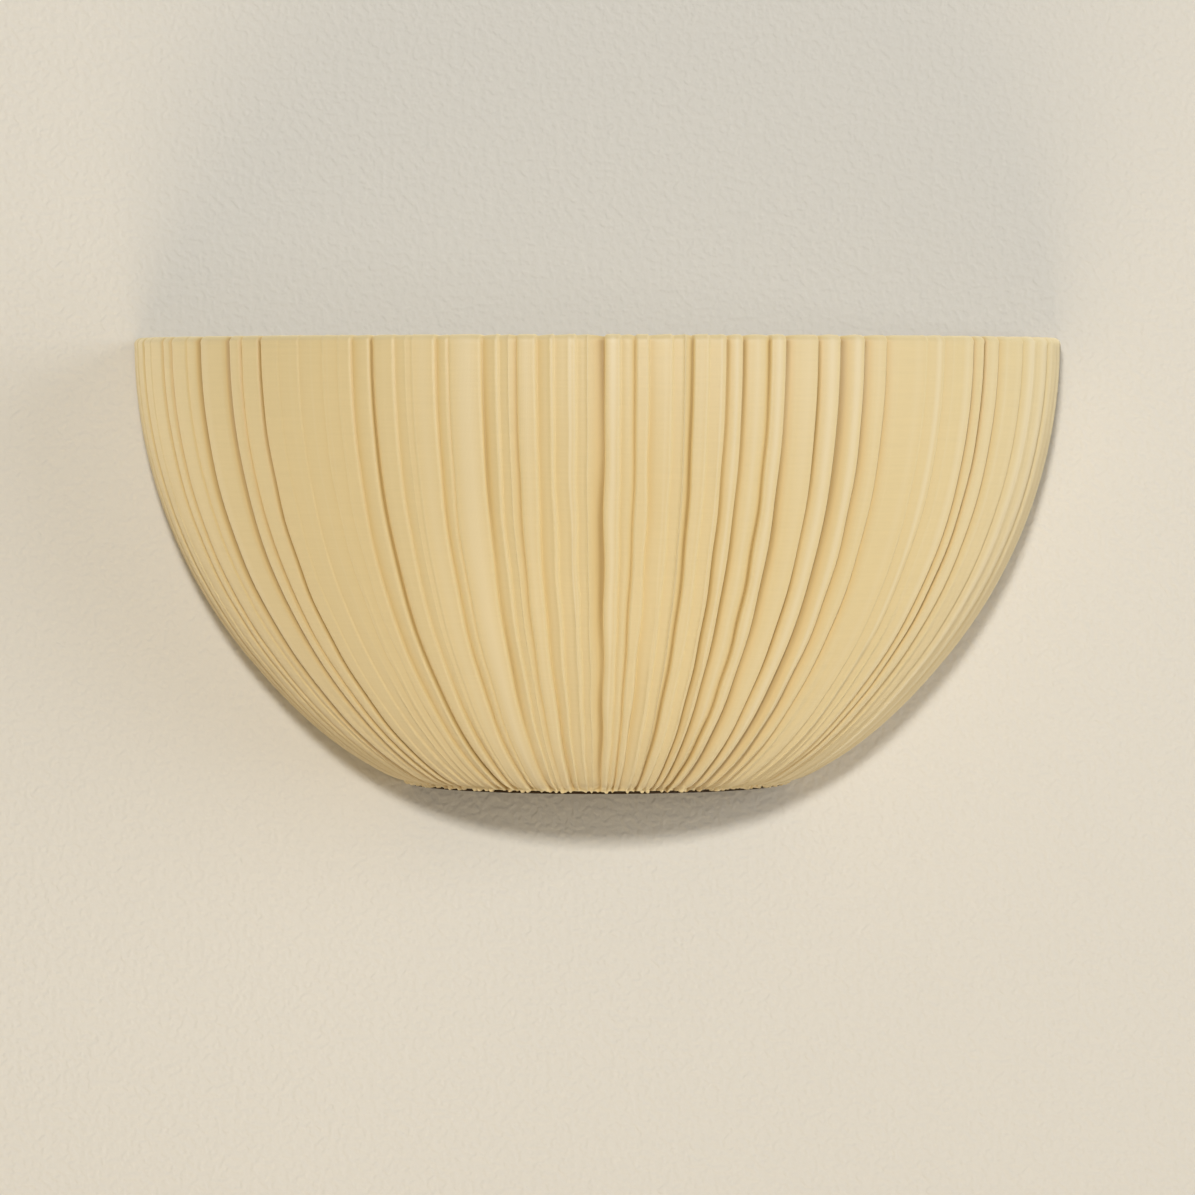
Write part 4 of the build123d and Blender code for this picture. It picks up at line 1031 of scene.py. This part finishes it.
class LIGHT_OT_stage(bpy.types.Operator):
    """Put up the wall, the floor, the lights and the camera"""

    bl_idname = "wall_light.stage"
    bl_label = "Wall, lights and camera"

    def execute(self, context):
        settings = context.scene.light_stage
        self.make_wall(settings)
        self.make_lights(context, settings)
        self.make_camera(context)
        context.scene.view_settings.view_transform = "Standard"
        return {"FINISHED"}

    def make_wall(self, settings):
        """A painted wall behind the light and a floor below, both open to a view from behind."""
        tree, shader = new_material("Wall paint", Roughness=0.9, Specular_IOR_Level=0.1)
        place = add_node(tree, "ShaderNodeTexCoord").outputs["Object"]
        stipple = place_group(tree, "Stipple", place, Size=0.0026)
        mottle = place_group(tree, "Mottle", place, Patch_size=0.25, Speckle_size=0.003)
        share = add_range(tree, mottle.outputs["Value"], -0.2, 1.2)
        colour = settings.wall_colour
        tone = colour_mix(tree, share, tinted(colour, 0.98), tinted(colour, 1.02))
        tree.links.new(tone, shader.inputs["Base Color"])
        add_bump(tree, shader, stipple.outputs["Height"], 0.00022, 0.8)
        clear = add_node(tree, "ShaderNodeBsdfTransparent")
        side = add_node(tree, "ShaderNodeNewGeometry")
        blend = add_node(tree, "ShaderNodeMixShader")
        tree.links.new(side.outputs["Backfacing"], blend.inputs[0])
        tree.links.new(shader.outputs[0], blend.inputs[1])
        tree.links.new(clear.outputs[0], blend.inputs[2])
        tree.links.new(blend.outputs[0], tree.nodes["Material Output"].inputs["Surface"])
        start_clean()
        bpy.ops.mesh.primitive_plane_add(
            size=STAGE_SIZE, location=(0, WALL_GAP, WALL_MIDDLE), rotation=(math.radians(90), 0, 0)
        )
        wall = bpy.context.object
        wall.name = "wall"
        place_in_mesh(wall)
        bpy.ops.mesh.primitive_plane_add(
            size=STAGE_SIZE, location=(0, WALL_GAP - STAGE_SIZE / 2, FLOOR_Z)
        )
        floor = bpy.context.object
        floor.name = "floor"
        place_in_mesh(floor)
        for stage in (wall, floor):
            finish_all(stage, "Wall paint")

    def make_lights(self, context, settings):
        """A small key in front, one broad light from the right, one from below and the room."""
        # Name, power, width, degrees round from the front, degrees up, distance and colour
        lamps = (
            ("key", settings.key_power, 0.22, -2, 15.5, 2.6, (1.0, 0.99, 0.97)),
            ("side", settings.side_power, 2.6, 50, 8, 4.5, (0.87, 0.92, 1.0)),
            ("fill", settings.fill_power, 2.0, -15, -62, 2.8, (1.0, 0.80, 0.52)),
        )
        for name, power, size, turn, rise, distance, colour in lamps:
            lamp = bpy.data.lights.new(name, "AREA")
            lamp.energy = power
            lamp.size = size
            lamp.color = colour
            holder = bpy.data.objects.new(name, lamp)
            context.scene.collection.objects.link(holder)
            level = distance * math.cos(math.radians(rise))
            holder.location = (
                level * math.sin(math.radians(turn)),
                -level * math.cos(math.radians(turn)),
                distance * math.sin(math.radians(rise)),
            )
            holder.rotation_euler = (
                math.radians(90 - rise),
                0,
                math.radians(turn),
            )
        world = bpy.data.worlds.new("room")
        context.scene.world = world
        world.use_nodes = True
        tree = world.node_tree
        room = tree.nodes["Background"]
        room.inputs["Color"].default_value = ROOM_COLOUR
        room.inputs["Strength"].default_value = settings.world_strength
        pale = add_node(
            tree, "ShaderNodeBackground", values={"Color": ROOM_SEEN, "Strength": 1.0}
        )
        rays = add_node(tree, "ShaderNodeLightPath").outputs
        seen = math_node(tree, "MAXIMUM", rays["Is Camera Ray"], rays["Is Glossy Ray"])
        seen = math_node(tree, "MAXIMUM", seen, rays["Is Transmission Ray"])
        blend = add_node(tree, "ShaderNodeMixShader")
        tree.links.new(seen, blend.inputs[0])
        tree.links.new(room.outputs[0], blend.inputs[1])
        tree.links.new(pale.outputs[0], blend.inputs[2])
        tree.links.new(blend.outputs[0], tree.nodes["World Output"].inputs["Surface"])

    def make_camera(self, context):
        """Level with the upper part of the shade, far off, looking a little down."""
        lens = bpy.data.cameras.new("camera")
        lens.lens = LENS
        lens.sensor_width = FRAME_WIDTH
        lens.clip_end = 50
        camera = bpy.data.objects.new("camera", lens)
        context.scene.collection.objects.link(camera)
        camera.location = CAMERA_PLACE
        camera.rotation_euler = (math.radians(90 - CAMERA_DOWN), 0, 0)
        context.scene.camera = camera


class LIGHT_PT_panel(bpy.types.Panel):
    """The sidebar panel of the wall light"""

    bl_label = "Wall Light"
    bl_idname = "LIGHT_PT_panel"
    bl_space_type = "VIEW_3D"
    bl_region_type = "UI"
    bl_category = "Wall Light"

    def draw(self, context):
        layout = self.layout
        for name in ("light_cloth", "light_finish", "light_stage"):
            settings = getattr(context.scene, name)
            for prop in settings.bl_rna.properties:
                if prop.identifier not in ("rna_type", "name"):
                    layout.prop(settings, prop.identifier)
        for operator in STEPS:
            layout.operator(operator)


STEPS = ("wall_light.finishes", "wall_light.cloth", "wall_light.stage")
CLASSES = (
    ClothSettings,
    FinishSettings,
    StageSettings,
    LIGHT_OT_finishes,
    LIGHT_OT_cloth,
    LIGHT_OT_stage,
    LIGHT_PT_panel,
)


def register():
    for each in CLASSES:
        bpy.utils.register_class(each)
    bpy.types.Scene.light_cloth = bpy.props.PointerProperty(type=ClothSettings)
    bpy.types.Scene.light_finish = bpy.props.PointerProperty(type=FinishSettings)
    bpy.types.Scene.light_stage = bpy.props.PointerProperty(type=StageSettings)


def unregister():
    for name in ("light_cloth", "light_finish", "light_stage"):
        delattr(bpy.types.Scene, name)
    for each in reversed(CLASSES):
        bpy.utils.unregister_class(each)


def main():
    """Dress the light, step by step."""
    register()
    start_clean()
    for step in STEPS:
        group, name = step.split(".")
        getattr(getattr(bpy.ops, group), name)()


if __name__ == "__main__":
    main()
